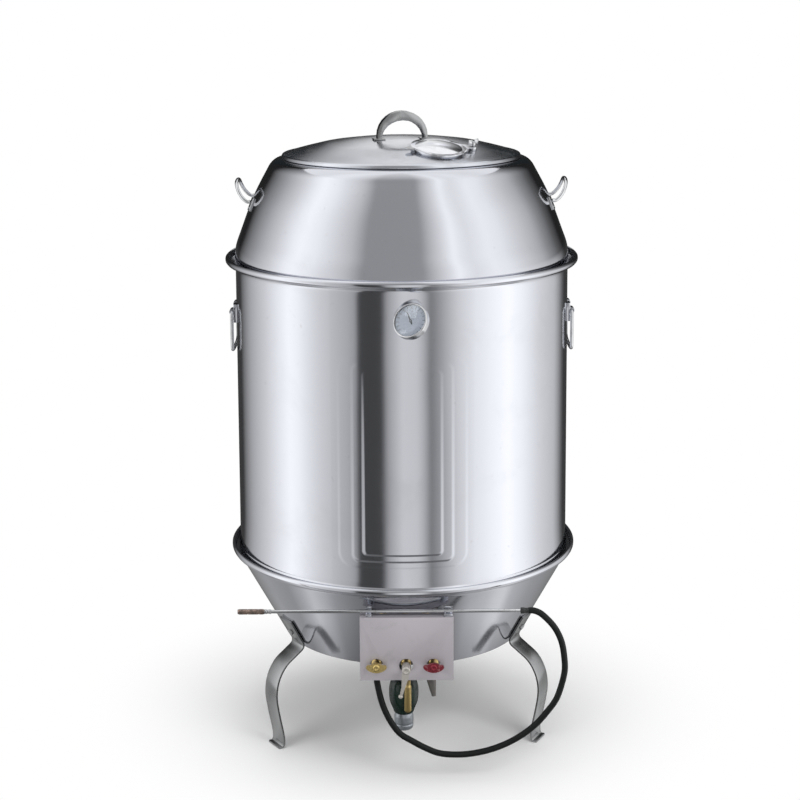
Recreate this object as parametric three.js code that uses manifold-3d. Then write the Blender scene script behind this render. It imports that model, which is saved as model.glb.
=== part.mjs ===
// Gas duck roasting oven, in millimetres. +Z is up, the front faces -Y, and the origin is on the
// floor at the oven's axis. An azimuth of 0 degrees is the front and 90 degrees is +X.
import * as THREE from 'three';
import { mergeVertices } from 'three/addons/utils/BufferGeometryUtils.js';
import Module from 'manifold-3d';

const wasm = await Module();
wasm.setup();

// Driving dimensions
const SHEET = 2;
const GAP = 0.3;
const BASE_BOTTOM = { r: 284, z: 235 };
const BASE_TOP = { r: 391, z: 433 };
const LOWER_RIM = { r: 406.6, z: 449 };
const LOWER_LEDGE = 441;
const BURNER_FLOOR = 240;
const DRUM_FOOT = { r: 387, z: 470 };
const DRUM_HEAD = { r: 382, z: 1100 };
const UPPER_RIM = { r: 405, z: 1129 };
const UPPER_LEDGE = 1121;
const LINER = { r: 368, sheet: 1.5, bottom: 462, top: 1099.5 };
const PRESSING = { depth: 3, topDepth: 0.8, innerHalf: 15, outerHalf: 22.5, bottom: 509, top: 960, slope: 21 };

const LEG_AZIMUTH = { left: -57, right: 62.5, rear: 184 };
const LEG = { width: 53, thick: 5, boltZ: 276, boltR: 4, holeR: 4.4 };

const PANEL = { left: -96, right: 110, front: -398, bottom: 245.3, top: 391.3, sheet: 1.5, flange: 27 };
const BRACKET_X = { left: -72, right: 86 };
const WAND = { y: -385, z: 402, lean: 35, rodR: 4, rodLeft: -290.1, rodRight: 257 };
const CLIP = { left: { x: -76.6, width: 12.6 }, right: { x: 98.6, width: 19 } };
const HOSE_R = 7;
const HOSE_POINTS = [
  [274.8, -385, 402], [285, -385, 402], [298, -386, 397.5], [310, -387, 388.5], [333, -387, 362],
  [348, -388, 330], [355, -389, 290], [356, -389, 263], [350, -389, 231], [338, -390, 195],
  [318, -390, 165], [293, -390, 135], [260, -390, 108], [224, -389, 87], [183, -389, 72],
  [132, -388, 63], [80, -388, 66], [47, -387, 79], [15, -386, 97], [-6, -385, 110],
  [-23, -383, 130], [-38, -382, 157], [-49, -380, 186], [-56, -378, 215], [-60, -377, 240],
  [-60, -377, 255.7],
];

const GAS_Z = 280;
const COCK_X = { left: -60, centre: 5.5, right: 66 };
const OUTLET = { y: -377, top: 266 };
const MANIFOLD = { left: -84, right: 92, front: -366, back: -346, half: 10 };
const CASTING = { y: -341, pipeZ: 200, pipeR: 17 };
const JET = { x: 9, r: 8, bottom: 161 };

const RACK = { r: 335, z: 1075, rod: 5 };
const RACK_BRACKETS = [60, 180, 300];
const RACK_HOOKS = [30, 90, 150, 210, 270, 330];

const BAIL = { x: 389, z: 1010, drop: 88, half: 71, rod: 4, lugY: 50, lugWidth: 26 };
const DIAL = { face: [16, -422.8, 1059], left: 28, up: 30, r: 39, standOff: 54, probe: 130 };

const HOOD_HANDLE = { footY: 60, footZ: 1256, rod: 4 };
const LID_BOTTOM = 1356.4;
const LID_DOME = [[262, 1367], [228, 1376.5], [176, 1389], [115, 1396.5], [60, 1400.6], [0, 1402]];
const LID_HANDLE = { x: 2, y: -42, turn: 12.2, half: 57, rise: 64, innerHalf: 49, innerRise: 43, depth: 22 };
const VENT = { centre: [82, -160, 1388], azimuth: 27.1, tilt: 12.5, bore: 50, disc: 62, reach: 82.5 };

const FINISH = {
  steel: { color: 0xc9cbcd, roughness: 0.22, metalness: 1 },
  dullSteel: { color: 0x8d8f90, roughness: 0.45, metalness: 1 },
  castIron: { color: 0x3a3b3c, roughness: 0.8, metalness: 0.6 },
  greenPaint: { color: 0x24463a, roughness: 0.45, metalness: 0.1 },
  greyCasting: { color: 0x7d8a90, roughness: 0.55, metalness: 0.5 },
  brass: { color: 0xb48a4e, roughness: 0.35, metalness: 1 },
  goldPaint: { color: 0xc79a36, roughness: 0.35, metalness: 0.6 },
  redPaint: { color: 0xa51f2c, roughness: 0.4, metalness: 0.2 },
  copper: { color: 0x8a5e48, roughness: 0.5, metalness: 0.9 },
  rubber: { color: 0x161718, roughness: 0.65, metalness: 0 },
  panelSheet: { color: 0xd5d3d6, roughness: 0.5, metalness: 0.4 },
  white: { color: 0xdfe1e0, roughness: 0.5, metalness: 0 },
  black: { color: 0x222425, roughness: 0.5, metalness: 0.2 },
  glass: { color: 0xdfe8ea, roughness: 0.05, metalness: 0, transparent: true, opacity: 0.35 },
};

const oven = new THREE.Group();

function add(name, geometry, finish) {
  const mesh = new THREE.Mesh(geometry, new THREE.MeshStandardMaterial(FINISH[finish]));
  mesh.name = name;
  oven.add(mesh);
}

// Places and directions
const rad = THREE.MathUtils.degToRad;
const vec = (x, y, z) => new THREE.Vector3(x, y, z);
const UP = vec(0, 0, 1);
const ALONG_X = new THREE.Matrix4().makeBasis(vec(0, 1, 0), UP, vec(1, 0, 0));
const BASE_SLOPE = Math.atan2(BASE_TOP.r - BASE_BOTTOM.r, BASE_TOP.z - BASE_BOTTOM.z);
const BASE_WALL = SHEET / Math.cos(BASE_SLOPE);

const outward = (azimuth) => vec(Math.sin(rad(azimuth)), -Math.cos(rad(azimuth)), 0);
const polar = (azimuth, r, z) => outward(azimuth).multiplyScalar(r).setZ(z);
const baseR = (z) => BASE_BOTTOM.r + (z - BASE_BOTTOM.z) * Math.tan(BASE_SLOPE);
const drumR = (z) => THREE.MathUtils.mapLinear(z, DRUM_FOOT.z, DRUM_HEAD.z, DRUM_FOOT.r, DRUM_HEAD.r);

// A frame whose Z runs along a direction and whose X leans toward another
function frameAlong(direction, origin, toward) {
  const z = direction.clone().normalize();
  const y = new THREE.Vector3().crossVectors(z, toward).normalize();
  const x = new THREE.Vector3().crossVectors(y, z);
  return new THREE.Matrix4().makeBasis(x, y, z).setPosition(origin);
}

// The radial plane at an azimuth: X runs outward, Y runs up and Z runs across
function radialPlane(azimuth) {
  const out = outward(azimuth);
  return new THREE.Matrix4().makeBasis(out, UP, new THREE.Vector3().crossVectors(out, UP));
}

// Joining and cutting
function solid(geometry) {
  const bare = geometry.clone();
  bare.deleteAttribute('normal');
  bare.deleteAttribute('uv');
  const merged = mergeVertices(bare, 1e-4);
  return new wasm.Manifold(new wasm.Mesh({
    numProp: 3,
    vertProperties: new Float32Array(merged.attributes.position.array),
    triVerts: new Uint32Array(merged.index.array),
  }));
}

function carve(pieces, tools = []) {
  let result = pieces.map(solid).reduce((all, next) => all.add(next));
  for (const tool of tools) {
    result = result.subtract(solid(tool));
  }
  const mesh = result.getMesh();
  const geometry = new THREE.BufferGeometry();
  geometry.setAttribute('position', new THREE.BufferAttribute(mesh.vertProperties, mesh.numProp));
  geometry.setIndex(new THREE.BufferAttribute(mesh.triVerts, 1));
  return geometry;
}

// A profile of [r, z] points turned about Z. It closes on itself, or on the axis at both ends.
function turned(profile, segments) {
  const points = profile.map(([r, z]) => new THREE.Vector2(r, z));
  if (THREE.ShapeUtils.area(points) < 0) points.reverse();
  const onAxis = points[0].x === 0 && points[points.length - 1].x === 0;
  if (!onAxis) points.push(points[0].clone());
  return new THREE.LatheGeometry(points, segments).rotateX(Math.PI / 2);
}

function ring(inner, outer, low, high, segments) {
  return turned([[inner, low], [outer, low], [outer, high], [inner, high]], segments);
}

function hoop(radius, section, z, segments, sides) {
  const profile = circleOutline(section, sides).map(({ x, y }) => [radius + x, z + y]);
  return turned(profile, segments);
}

function rod(radius, low, high, segments = 12) {
  return turned([[0, low], [radius, low], [radius, high], [0, high]], segments);
}

function rodBetween(from, to, radius, segments = 12) {
  const along = to.clone().sub(from);
  const toward = Math.abs(along.z) > Math.abs(along.x) ? vec(1, 0, 0) : UP;
  return rod(radius, 0, along.length(), segments).applyMatrix4(frameAlong(along, from, toward));
}

function block(x0, x1, y0, y1, z0, z1) {
  return new THREE.BoxGeometry(x1 - x0, y1 - y0, z1 - z0)
    .translate((x0 + x1) / 2, (y0 + y1) / 2, (z0 + z1) / 2);
}

function plate(outline, low, high) {
  const shape = new THREE.Shape(outline.map(([x, y]) => new THREE.Vector2(x, y)));
  return new THREE.ExtrudeGeometry(shape, { depth: high - low, bevelEnabled: false }).translate(0, 0, low);
}

function circleOutline(radius, sides) {
  return Array.from({ length: sides }, (_, i) => {
    const angle = (2 * Math.PI * (i + 0.5)) / sides;
    return new THREE.Vector2(radius * Math.cos(angle), radius * Math.sin(angle));
  });
}

function tube(curve, radius, steps, sides) {
  const section = new THREE.Shape(circleOutline(radius, sides));
  return new THREE.ExtrudeGeometry(section, { extrudePath: curve, steps, bevelEnabled: false });
}

function smooth(points) {
  return new THREE.CatmullRomCurve3(points.map((point) => vec(...point)), false, 'centripetal');
}

// A path in one plane thickened to both sides
function stripOutline(points, thickness) {
  const left = [];
  const right = [];
  points.forEach((point, i) => {
    const along = points[Math.min(i + 1, points.length - 1)].clone().sub(points[Math.max(i - 1, 0)]);
    along.setLength(thickness / 2);
    left.push([point.x - along.y, point.y + along.x]);
    right.push([point.x + along.y, point.y - along.x]);
  });
  return [...left, ...right.reverse()];
}

// The outsides of the shells, one gap larger, which trim what stands on them
const aroundBase = turned([
  [0, 200],
  [baseR(200) + GAP, 200],
  [baseR(BASE_TOP.z) + GAP, BASE_TOP.z],
  [0, BASE_TOP.z],
], 96);
const aroundDrum = turned([
  [0, DRUM_FOOT.z],
  [DRUM_FOOT.r + GAP, DRUM_FOOT.z],
  [DRUM_HEAD.r + GAP, DRUM_HEAD.z],
  [0, DRUM_HEAD.z],
], 144);
const aroundHood = turned([[0, 1192], [368 + GAP, 1192], [337 + GAP, 1271], [307 + GAP, 1328], [0, 1328]], 96);
const aroundLid = turned([[0, 1350], [262, 1350], ...LID_DOME.map(([r, z]) => [r, z + GAP])], 80);

// Base: a tapered wall with a ledge and a rolled bead at its top, and a floor for the burner
function buildBase() {
  const { r, z } = LOWER_RIM;
  const profile = [
    [BASE_BOTTOM.r - BASE_WALL, BASE_BOTTOM.z],
    [BASE_BOTTOM.r, BASE_BOTTOM.z],
    [BASE_TOP.r, BASE_TOP.z],
    [395.5, LOWER_LEDGE - 2.6],
    [r - 2.6, LOWER_LEDGE - 0.7],
    [r, z - 4],
    [r, z + 3],
    [r - 4.6, z + 7.5],
    [r - 8.4, z + 3],
    [r - 9, LOWER_LEDGE],
    [383.5, LOWER_LEDGE],
    [baseR(430) - BASE_WALL, 430],
  ];
  const holes = Object.values(LEG_AZIMUTH)
    .map((azimuth) => rod(LEG.holeR, -8, 8, 8).applyMatrix4(boltFrame(azimuth)));
  add('base_cone', carve([turned(profile, 48)], holes), 'steel');
  const floorR = baseR(BURNER_FLOOR - SHEET) - BASE_WALL - GAP;
  add('base_floor', ring(70, floorR, BURNER_FLOOR - SHEET, BURNER_FLOOR, 48), 'dullSteel');
}

// Legs: flat straps that follow the wall, curve out in a C and end in turned-out feet
function boltFrame(azimuth) {
  const square = outward(azimuth).multiplyScalar(Math.cos(BASE_SLOPE)).setZ(-Math.sin(BASE_SLOPE));
  return frameAlong(square, polar(azimuth, baseR(LEG.boltZ), LEG.boltZ), UP);
}

function legPath() {
  const onWall = (z) => [baseR(z) + (LEG.thick / 2 + GAP) / Math.cos(BASE_SLOPE), z];
  const bend = new THREE.SplineCurve([
    onWall(262), onWall(247), [295, 237], [313, 223], [341, 202],
    [360, 171], [367.5, 132], [361.5, 84], [353, 42], [350, 20], [350.5, 9],
  ].map((point) => new THREE.Vector2(...point)));
  const top = new THREE.Vector2(...onWall(306));
  const sole = [354, 357, 364].map((r) => new THREE.Vector2(r, LEG.thick / 2));
  return [top, ...bend.getPoints(17), ...sole];
}

function buildLegs() {
  const outline = stripOutline(legPath(), LEG.thick);
  const underHead = LEG.thick + 3 * GAP;
  for (const [side, azimuth] of Object.entries(LEG_AZIMUTH)) {
    const frame = boltFrame(azimuth);
    const strap = plate(outline, -LEG.width / 2, LEG.width / 2).applyMatrix4(radialPlane(azimuth));
    add(`leg_${side}`, carve([strap], [rod(LEG.holeR, -2, 12, 8).applyMatrix4(frame)]), 'steel');
    const bolt = carve([
      rod(LEG.boltR, -11, underHead + 1, 8),
      rod(7.5, underHead, underHead + 4.5, 6),
      rod(7.5, -9, -SHEET - 0.8, 6),
    ]);
    add(`leg_bolt_${side}`, bolt.applyMatrix4(frame), 'dullSteel');
  }
}

// Control panel, its brackets, and the open clips that hold the lighting wand
function buildPanel() {
  const { left, right, front, bottom, top, sheet, flange } = PANEL;
  const sheets = [
    block(left, right, front, front + sheet, bottom, top),
    block(left, right, front, front + flange, top - sheet, top),
    block(left, right, front + flange - sheet, front + flange, top - 12, top),
  ];
  const holes = Object.values(COCK_X)
    .map((x) => rodBetween(vec(x, front - 5, GAS_Z), vec(x, front + 5, GAS_Z), 15.5, 20));
  add('control_panel', carve(sheets, holes), 'panelSheet');
  const back = front + flange + GAP;
  const gusset = [[back, top - 1], [-330, top - 1], [-330, top - 30], [back + 12, top - 30], [back, top - 14]];
  for (const [side, x] of Object.entries(BRACKET_X)) {
    const bracket = plate(gusset, x - 7, x + 7).applyMatrix4(ALONG_X);
    add(`panel_bracket_${side}`, carve([bracket], [aroundBase]), 'dullSteel');
    add(`wand_clip_${side}`, clip(CLIP[side]), 'steel');
  }
}

// The clip's cup leans forward, so that the wand comes up and out of it clear of the rim
function clip({ x, width }) {
  const inner = WAND.rodR + 0.4;
  const outer = inner + 1.5;
  const cup = [
    [-outer, -outer], [outer, -outer], [outer, 4], [outer + 2, 7], [outer + 0.6, 8], [inner, 4.6],
    [inner, -inner], [-inner, -inner], [-inner, 4.6], [-outer - 0.6, 8], [-outer - 2, 7], [-outer, 4],
  ];
  const under = PANEL.top + GAP - WAND.z;
  const foot = [
    [-8, under], [8, under], [8, under + 1.4], [5, under + 1.6], [4, -3.6], [-1, -7],
    [-3.5, -6.2], [-4.5, under + 1.4], [-8, under + 1.4],
  ];
  const alongWand = (outline) => plate(outline, x - width / 2, x + width / 2).applyMatrix4(ALONG_X);
  const leaning = alongWand(cup).rotateX(rad(WAND.lean));
  return carve([leaning, alongWand(foot)]).translate(0, WAND.y, WAND.z);
}

// Gas train: manifold, three cocks with their outlets, and the jet
function buildManifold() {
  const { left, right, front, back, half } = MANIFOLD;
  const bar = block(left, right, front, back, GAS_Z - half, GAS_Z + half);
  const stay = block(-12, 20, back - 1, -295, GAS_Z - 8, GAS_Z + 8);
  add('gas_manifold', carve([bar, stay], [aroundBase]), 'dullSteel');
}

function buildCocks() {
  const back = MANIFOLD.front - GAP;
  const body = [[0, 0], [11, 0], [11, 20], [8.5, 23], [8.5, 34], [4, 34], [4, 39], [0, 39]];
  const longBody = [...body.slice(0, 6), [4, 55], [0, 55]];
  for (const [side, x] of Object.entries(COCK_X)) {
    const profile = side === 'centre' ? longBody : body;
    const barrel = turned(profile, 12).applyMatrix4(frameAlong(vec(0, -1, 0), vec(x, back, GAS_Z), UP));
    const outlet = rod(9, OUTLET.top, GAS_Z, 12).translate(x, OUTLET.y, 0);
    add(`cock_${side}_body`, carve([barrel, outlet]), 'brass');
  }
  const top = OUTLET.top - GAP;
  add('jet_holder', turned([
    [0, JET.bottom], [6, JET.bottom], [JET.r, JET.bottom + 4], [JET.r, 222], [6.5, 226], [6.5, 236],
    [JET.r, 240], [JET.r, 252], [7, 255], [7, top], [0, top],
  ], 14).translate(JET.x, OUTLET.y, 0), 'brass');
  add('hose_barb', carve([
    rod(6, 256, 262, 12).translate(COCK_X.left, OUTLET.y, 0),
    rod(9, 259, top, 6).translate(COCK_X.left, OUTLET.y, 0),
  ]), 'brass');
  const spout = turned([[0, 0], [4.6, 0], [5, 1], [10.6, 38], [10.6, 44], [0, 44]], 12)
    .applyMatrix4(frameAlong(vec(-5, 0, 34.5), vec(67, OUTLET.y, 199.5), vec(1, 0, 0)));
  const neck = rod(7.5, 236, top, 12).translate(63, OUTLET.y, 0);
  add('pilot_spout', carve([spout, neck]), 'greyCasting');
}

// Cock handles: two winged ones and a lever that hangs further out and swings clear of them
function hubSolid(x, radius, back, front, boreEnd) {
  const hub = rodBetween(vec(x, back, GAS_Z), vec(x, front, GAS_Z), radius, 16);
  const bore = rodBetween(vec(x, back + 1, GAS_Z), vec(x, boreEnd, GAS_Z), 4.4, 12);
  return { hub, bore };
}

function buildCockHandles() {
  const wing = [
    [-23, 1], [-21.5, -3], [-16, -7.5], [-8, -11], [0, -12], [8, -11], [16, -7.5], [21.5, -3],
    [23, 1], [20.5, 4.5], [14, 5.5], [8, 8.5], [0, 9.8], [-8, 8.5], [-14, 5.5], [-20.5, 4.5],
  ];
  const facing = new THREE.Matrix4().makeBasis(vec(1, 0, 0), UP, vec(0, -1, 0));
  for (const side of ['left', 'right']) {
    const x = COCK_X[side];
    const { hub, bore } = hubSolid(x, 8, -401.5, -417, -407);
    const wings = plate(wing, 407, 413).applyMatrix4(facing).translate(x, 0, GAS_Z);
    add(`cock_${side}_handle`, carve([hub, wings], [bore]), side === 'left' ? 'goldPaint' : 'redPaint');
  }
  const x = COCK_X.centre;
  const { hub, bore } = hubSolid(x, 9.5, -401.5, -433, -423);
  const arm = plate([
    [-8, 2], [-10, -16], [-10.5, -40], [-13, -51], [-15, -62], [-9.5, -63], [-6, -51], [-2.5, -40],
    [5.5, -16], [7, 2],
  ], 424, 431).applyMatrix4(facing).translate(x, 0, GAS_Z);
  const ball = new THREE.SphereGeometry(5, 12, 8).translate(x - 12.3, -427.5, GAS_Z - 61);
  add('cock_centre_lever', carve([hub, arm, ball], [bore]), 'greyCasting');
}

// Mixing tube: a green casting that carries the gas and air back under the floor to the burner
function buildMixer() {
  const { y, pipeZ, pipeR } = CASTING;
  const bell = turned([
    [0, 147], [22, 147], [24, 155], [31, 172], [33, 185], [33, 206], [30, 220], [24, 228], [0, 228],
  ], 18).translate(0, y, 0);
  const burnerUnder = BURNER_FLOOR + 2.7;
  const path = new THREE.CurvePath();
  path.add(new THREE.LineCurve3(vec(0, y, pipeZ), vec(0, -42, pipeZ)));
  path.add(new THREE.QuadraticBezierCurve3(vec(0, -42, pipeZ), vec(0, 0, pipeZ), vec(0, 0, burnerUnder)));
  const jetRoom = rod(JET.r + GAP, 140, 240, 14).translate(JET.x, OUTLET.y, 0);
  add('mixing_tube', carve([bell, tube(path, pipeR, 14, 8)], [jetRoom]), 'greenPaint');
  const inlet = turned([
    [0, 107], [16, 107], [19.8, 109.5], [21.5, 115], [21.5, 138], [20, 146.7], [0, 146.7],
  ], 16);
  add('inlet_union', carve([inlet], [rod(10, 100, 132)]).translate(0, y, 0), 'greyCasting');
}

// Ring burner on the floor over its air opening, with the hub fed from below
function buildBurner() {
  const pieces = [ring(92, 118, BURNER_FLOOR + GAP, 262, 24), rod(26, BURNER_FLOOR + 3, 262, 12)];
  for (const azimuth of [0, 120, 240]) {
    pieces.push(block(-7, 7, -100, -10, 246, 258).rotateZ(rad(azimuth)));
  }
  const ports = Array.from({ length: 12 }, (_, i) => {
    const place = polar((i + 0.5) * 30, 105, 0);
    return rod(3.5, 254, 264, 6).translate(place.x, place.y, 0);
  });
  add('burner_ring', carve(pieces, ports), 'castIron');
}

// Drip tray on its hoop, and the fat deflector that stands in the tray
function buildTray() {
  const hoopZ = 320;
  add('tray_hoop', hoop(320.8, 5, hoopZ, 36, 6), 'dullSteel');
  add('drip_tray', turned([
    [170, 290.5], [291.5, 290.5], [291.5, 325.3], [324, 325.3], [324, 326.8], [290, 326.8],
    [290, 292], [171.5, 292], [171.5, 312], [170, 312],
  ], 28), 'dullSteel');
  const shell = turned([[0, 385], [207, 330], [205, 327.6], [0, 382.8]], 32);
  const feet = [60, 180, 300].map((azimuth) => {
    const place = polar(azimuth, 186, 0);
    return rod(4, 292.3, 334, 6).translate(place.x, place.y, 0);
  });
  add('fat_deflector', carve([shell, ...feet]), 'dullSteel');
}

// Drum: beads at its foot and head, and a long panel pressed out of its front
function pressOut(geometry) {
  const { depth, topDepth, innerHalf, outerHalf, bottom, top, slope } = PRESSING;
  const position = geometry.getAttribute('position');
  for (let i = 0; i < position.count; i += 1) {
    const [x, y, z] = [position.getX(i), position.getY(i), position.getZ(i)];
    const r = Math.hypot(x, y);
    const azimuth = Math.abs(THREE.MathUtils.radToDeg(Math.atan2(x, -y)));
    const across = THREE.MathUtils.clamp((outerHalf - azimuth) / (outerHalf - innerHalf), 0, 1);
    const along = THREE.MathUtils.clamp(Math.min(z - bottom, top - z) / slope, 0, 1);
    const fading = THREE.MathUtils.mapLinear(z, bottom + slope, top - slope, depth, topDepth);
    const lift = r > drumR(z) - SHEET / 2 ? fading * across * along : 0;
    position.setXY(i, (x * (r + lift)) / r, (y * (r + lift)) / r);
  }
  return geometry;
}

function buildDrum() {
  const { r, z } = UPPER_RIM;
  const { bottom, top, slope } = PRESSING;
  const foot = LOWER_LEDGE + GAP;
  const outside = (height) => [drumR(height), height];
  const profile = [
    [384, foot], [389.8, foot + 1.4], [389.8, foot + 9], outside(456),
    outside(bottom), outside(bottom + slope), outside(top - slope), outside(top),
    [381.9, 1112], [386, UPPER_LEDGE - 2.2], [r - 4, UPPER_LEDGE - 0.8], [r, z - 4], [r, z + 3],
    [r - 4.5, z + 7.4], [r - 8.4, z + 3], [r - 9, UPPER_LEDGE], [380, UPPER_LEDGE],
    [DRUM_FOOT.r - SHEET, DRUM_FOOT.z],
  ];
  const stemHole = rod(6, -DIAL.standOff - 45, -DIAL.standOff + 15).applyMatrix4(dialFrame());
  add('drum_shell', carve([pressOut(turned(profile, 48))], [stemHole]), 'steel');
  add('drum_liner', carve([turned([
    [LINER.r, LINER.bottom], [383.8, LINER.bottom], [383.8, LINER.bottom + LINER.sheet],
    [LINER.r + LINER.sheet, LINER.bottom + LINER.sheet], [LINER.r + LINER.sheet, LINER.top - LINER.sheet],
    [378.8, LINER.top - LINER.sheet], [378.8, LINER.top], [LINER.r, LINER.top],
  ], 36)], [stemHole]), 'dullSteel');
  RACK_BRACKETS.forEach((azimuth, i) => {
    const shelf = plate([[325, 1057], [366.8, 1040], [366.8, 1069.7], [325, 1069.7]], -10, 10);
    add(`rack_bracket_${i + 1}`, shelf.applyMatrix4(radialPlane(azimuth)), 'dullSteel');
  });
}

// Dial thermometer: its frame has Z along the dial's axis and its origin at the face
function dialFrame() {
  const { face, left, up } = DIAL;
  const axis = outward(-left).multiplyScalar(Math.cos(rad(up))).setZ(Math.sin(rad(up)));
  return frameAlong(axis, vec(...face), UP);
}

function buildThermometer() {
  const frame = dialFrame();
  const { r, standOff, probe } = DIAL;
  const neck = carve([
    rod(11, -standOff - 12, -standOff + 10, 6),
    rod(8, -standOff, -30 - GAP, 12),
  ]).applyMatrix4(frame);
  const stem = rod(4, -standOff - probe, -standOff + 12, 10).applyMatrix4(frame);
  add('thermometer_stem', carve([carve([neck], [aroundDrum]), stem]), 'dullSteel');
  const turnedOnDial = (profile, segments) => turned(profile, segments).applyMatrix4(frame);
  add('thermometer_case', turnedOnDial([
    [0, -30], [23, -30], [r - 4, -20], [r, -15], [r, -1.5], [r - 1.5, 0], [35.3, 0], [35.3, -7.5],
    [0, -7.5],
  ], 28), 'steel');
  add('thermometer_dial', turnedOnDial([
    [0, -7.2], [34.9, -7.2], [34.9, -6.2], [1.2, -6.2], [1.2, -3.8], [0, -3.8],
  ], 28), 'white');
  const hand = plate([[-8, -1.6], [24, -0.5], [24, 0.5], [-8, 1.6]], -5.4, -4.6).rotateZ(rad(35));
  const pointer = carve([hand, rod(3, -5.6, -4.4, 10)], [rod(1.5, -7, -3, 8)]);
  add('thermometer_pointer', pointer.applyMatrix4(frame), 'black');
  add('thermometer_glass', turnedOnDial([[0, -2.4], [35, -2.4], [35, -0.9], [0, -0.9]], 28), 'glass');
}

// Folding handles on the drum's sides, each hung in two lugs
function buildDrumHandles() {
  const { x, z, drop, half, rod: rodR, lugY, lugWidth } = BAIL;
  const inside = lugY - 6;
  const corners = [
    [x, inside, z], [x, lugY + 7, z], [x, half - 6, z], [x, half - 1, z - 3], [x, half, z - 10],
    [x, half, z - drop + 13], [x, half - 3, z - drop + 4], [x, half - 11, z - drop],
  ];
  const mirrored = corners.map(([cx, cy, cz]) => [cx, -cy, cz]).reverse();
  const bail = tube(smooth([...corners, ...mirrored]), rodR, 32, 6);
  for (const [side, turn] of [['right', 0], ['left', 180]]) {
    const spin = rad(turn);
    for (const [end, y] of [['front', -lugY], ['rear', lugY]]) {
      const from = y - lugWidth / 2;
      const to = y + lugWidth / 2;
      const lug = carve([
        rodBetween(vec(x, from, z), vec(x, to, z), 6.5, 14),
        block(378, x - 2, from, to, z - 6.5, z + 6.5),
        block(370, 385.5, from, to, z - 25, z + 17),
      ], [aroundDrum, rodBetween(vec(x, from - 1, z), vec(x, to + 1, z), rodR + 0.6, 10)]);
      const name = turn ? { front: 'rear', rear: 'front' }[end] : end;
      add(`bail_lug_${side}_${name}`, lug.rotateZ(spin), 'steel');
    }
    add(`bail_${side}`, bail.clone().rotateZ(spin), 'steel');
  }
}

// Hanging rack: a hoop with two crossed bars and six hooks
function buildRack() {
  const { r, z, rod: rodR } = RACK;
  const pieces = [hoop(r, rodR, z, 30, 6)];
  for (const azimuth of [45, 135]) {
    pieces.push(rodBetween(polar(azimuth, r, z), polar(azimuth + 180, r, z), 4, 6));
  }
  const hook = tube(smooth([
    [r, z, 0], [r, z - 42, 0], [r - 6, z - 56, 0], [r - 18, z - 61, 0], [r - 30, z - 54, 0], [r - 33, z - 40, 0],
  ]), 2.6, 9, 5);
  for (const azimuth of RACK_HOOKS) {
    pieces.push(hook.clone().applyMatrix4(radialPlane(azimuth)));
  }
  add('duck_rack', carve(pieces), 'dullSteel');
}

// Hood: a truncated cone with a rounded shoulder and an upturned neck, and its two loop handles
function buildHood() {
  const foot = UPPER_LEDGE + GAP;
  add('hood_shell', turned([
    [382, foot], [384, foot], [383, 1137], [379.5, 1160], [368, 1192], [337, 1271], [307, 1328],
    [298, 1343], [288, 1352], [276, 1355.6], [257, 1356], [257, 1362], [255, 1362], [255, 1353.8],
    [275.6, 1353.4], [295.8, 1342], [334.9, 1270.4], [366, 1191.4], [378.4, 1156],
  ], 48), 'steel');
  const { footY, footZ, rod: rodR } = HOOD_HANDLE;
  const half = [
    [337, footY, footZ + 8], [346, footY - 1, footZ + 6], [353, footY - 2, footZ + 9],
    [363, footY - 5, footZ + 20], [370, footY - 11, footZ + 34], [373, footY - 22, footZ + 45],
  ];
  const mirrored = half.map(([x, y, z]) => [x, -y, z]).reverse();
  const loop = tube(smooth([...half, ...mirrored]), rodR, 24, 6);
  const slope = Math.atan2(368 - 337, 1271 - 1192);
  const feet = [footY, -footY].map((y) => {
    const azimuth = 90 + THREE.MathUtils.radToDeg(Math.asin(y / 343));
    const square = outward(azimuth).multiplyScalar(Math.cos(slope)).setZ(Math.sin(slope));
    return block(-15, 15, -12, 12, -3, 4).applyMatrix4(frameAlong(square, polar(azimuth, 343, footZ), UP));
  });
  const handle = carve([loop, ...feet], [aroundHood]);
  add('hood_handle_right', handle, 'steel');
  add('hood_handle_left', handle.clone().rotateZ(Math.PI), 'steel');
}

// Lid: a shallow dome with a turned-down lip, its arched handle and its smoke vent
function ventFrame() {
  const { azimuth, tilt, centre, reach } = VENT;
  const axis = outward(azimuth).multiplyScalar(Math.sin(rad(tilt))).setZ(Math.cos(rad(tilt)));
  return frameAlong(axis, vec(...centre), vec(158 - centre[0], -128 - centre[1], 0).setLength(reach));
}

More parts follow.
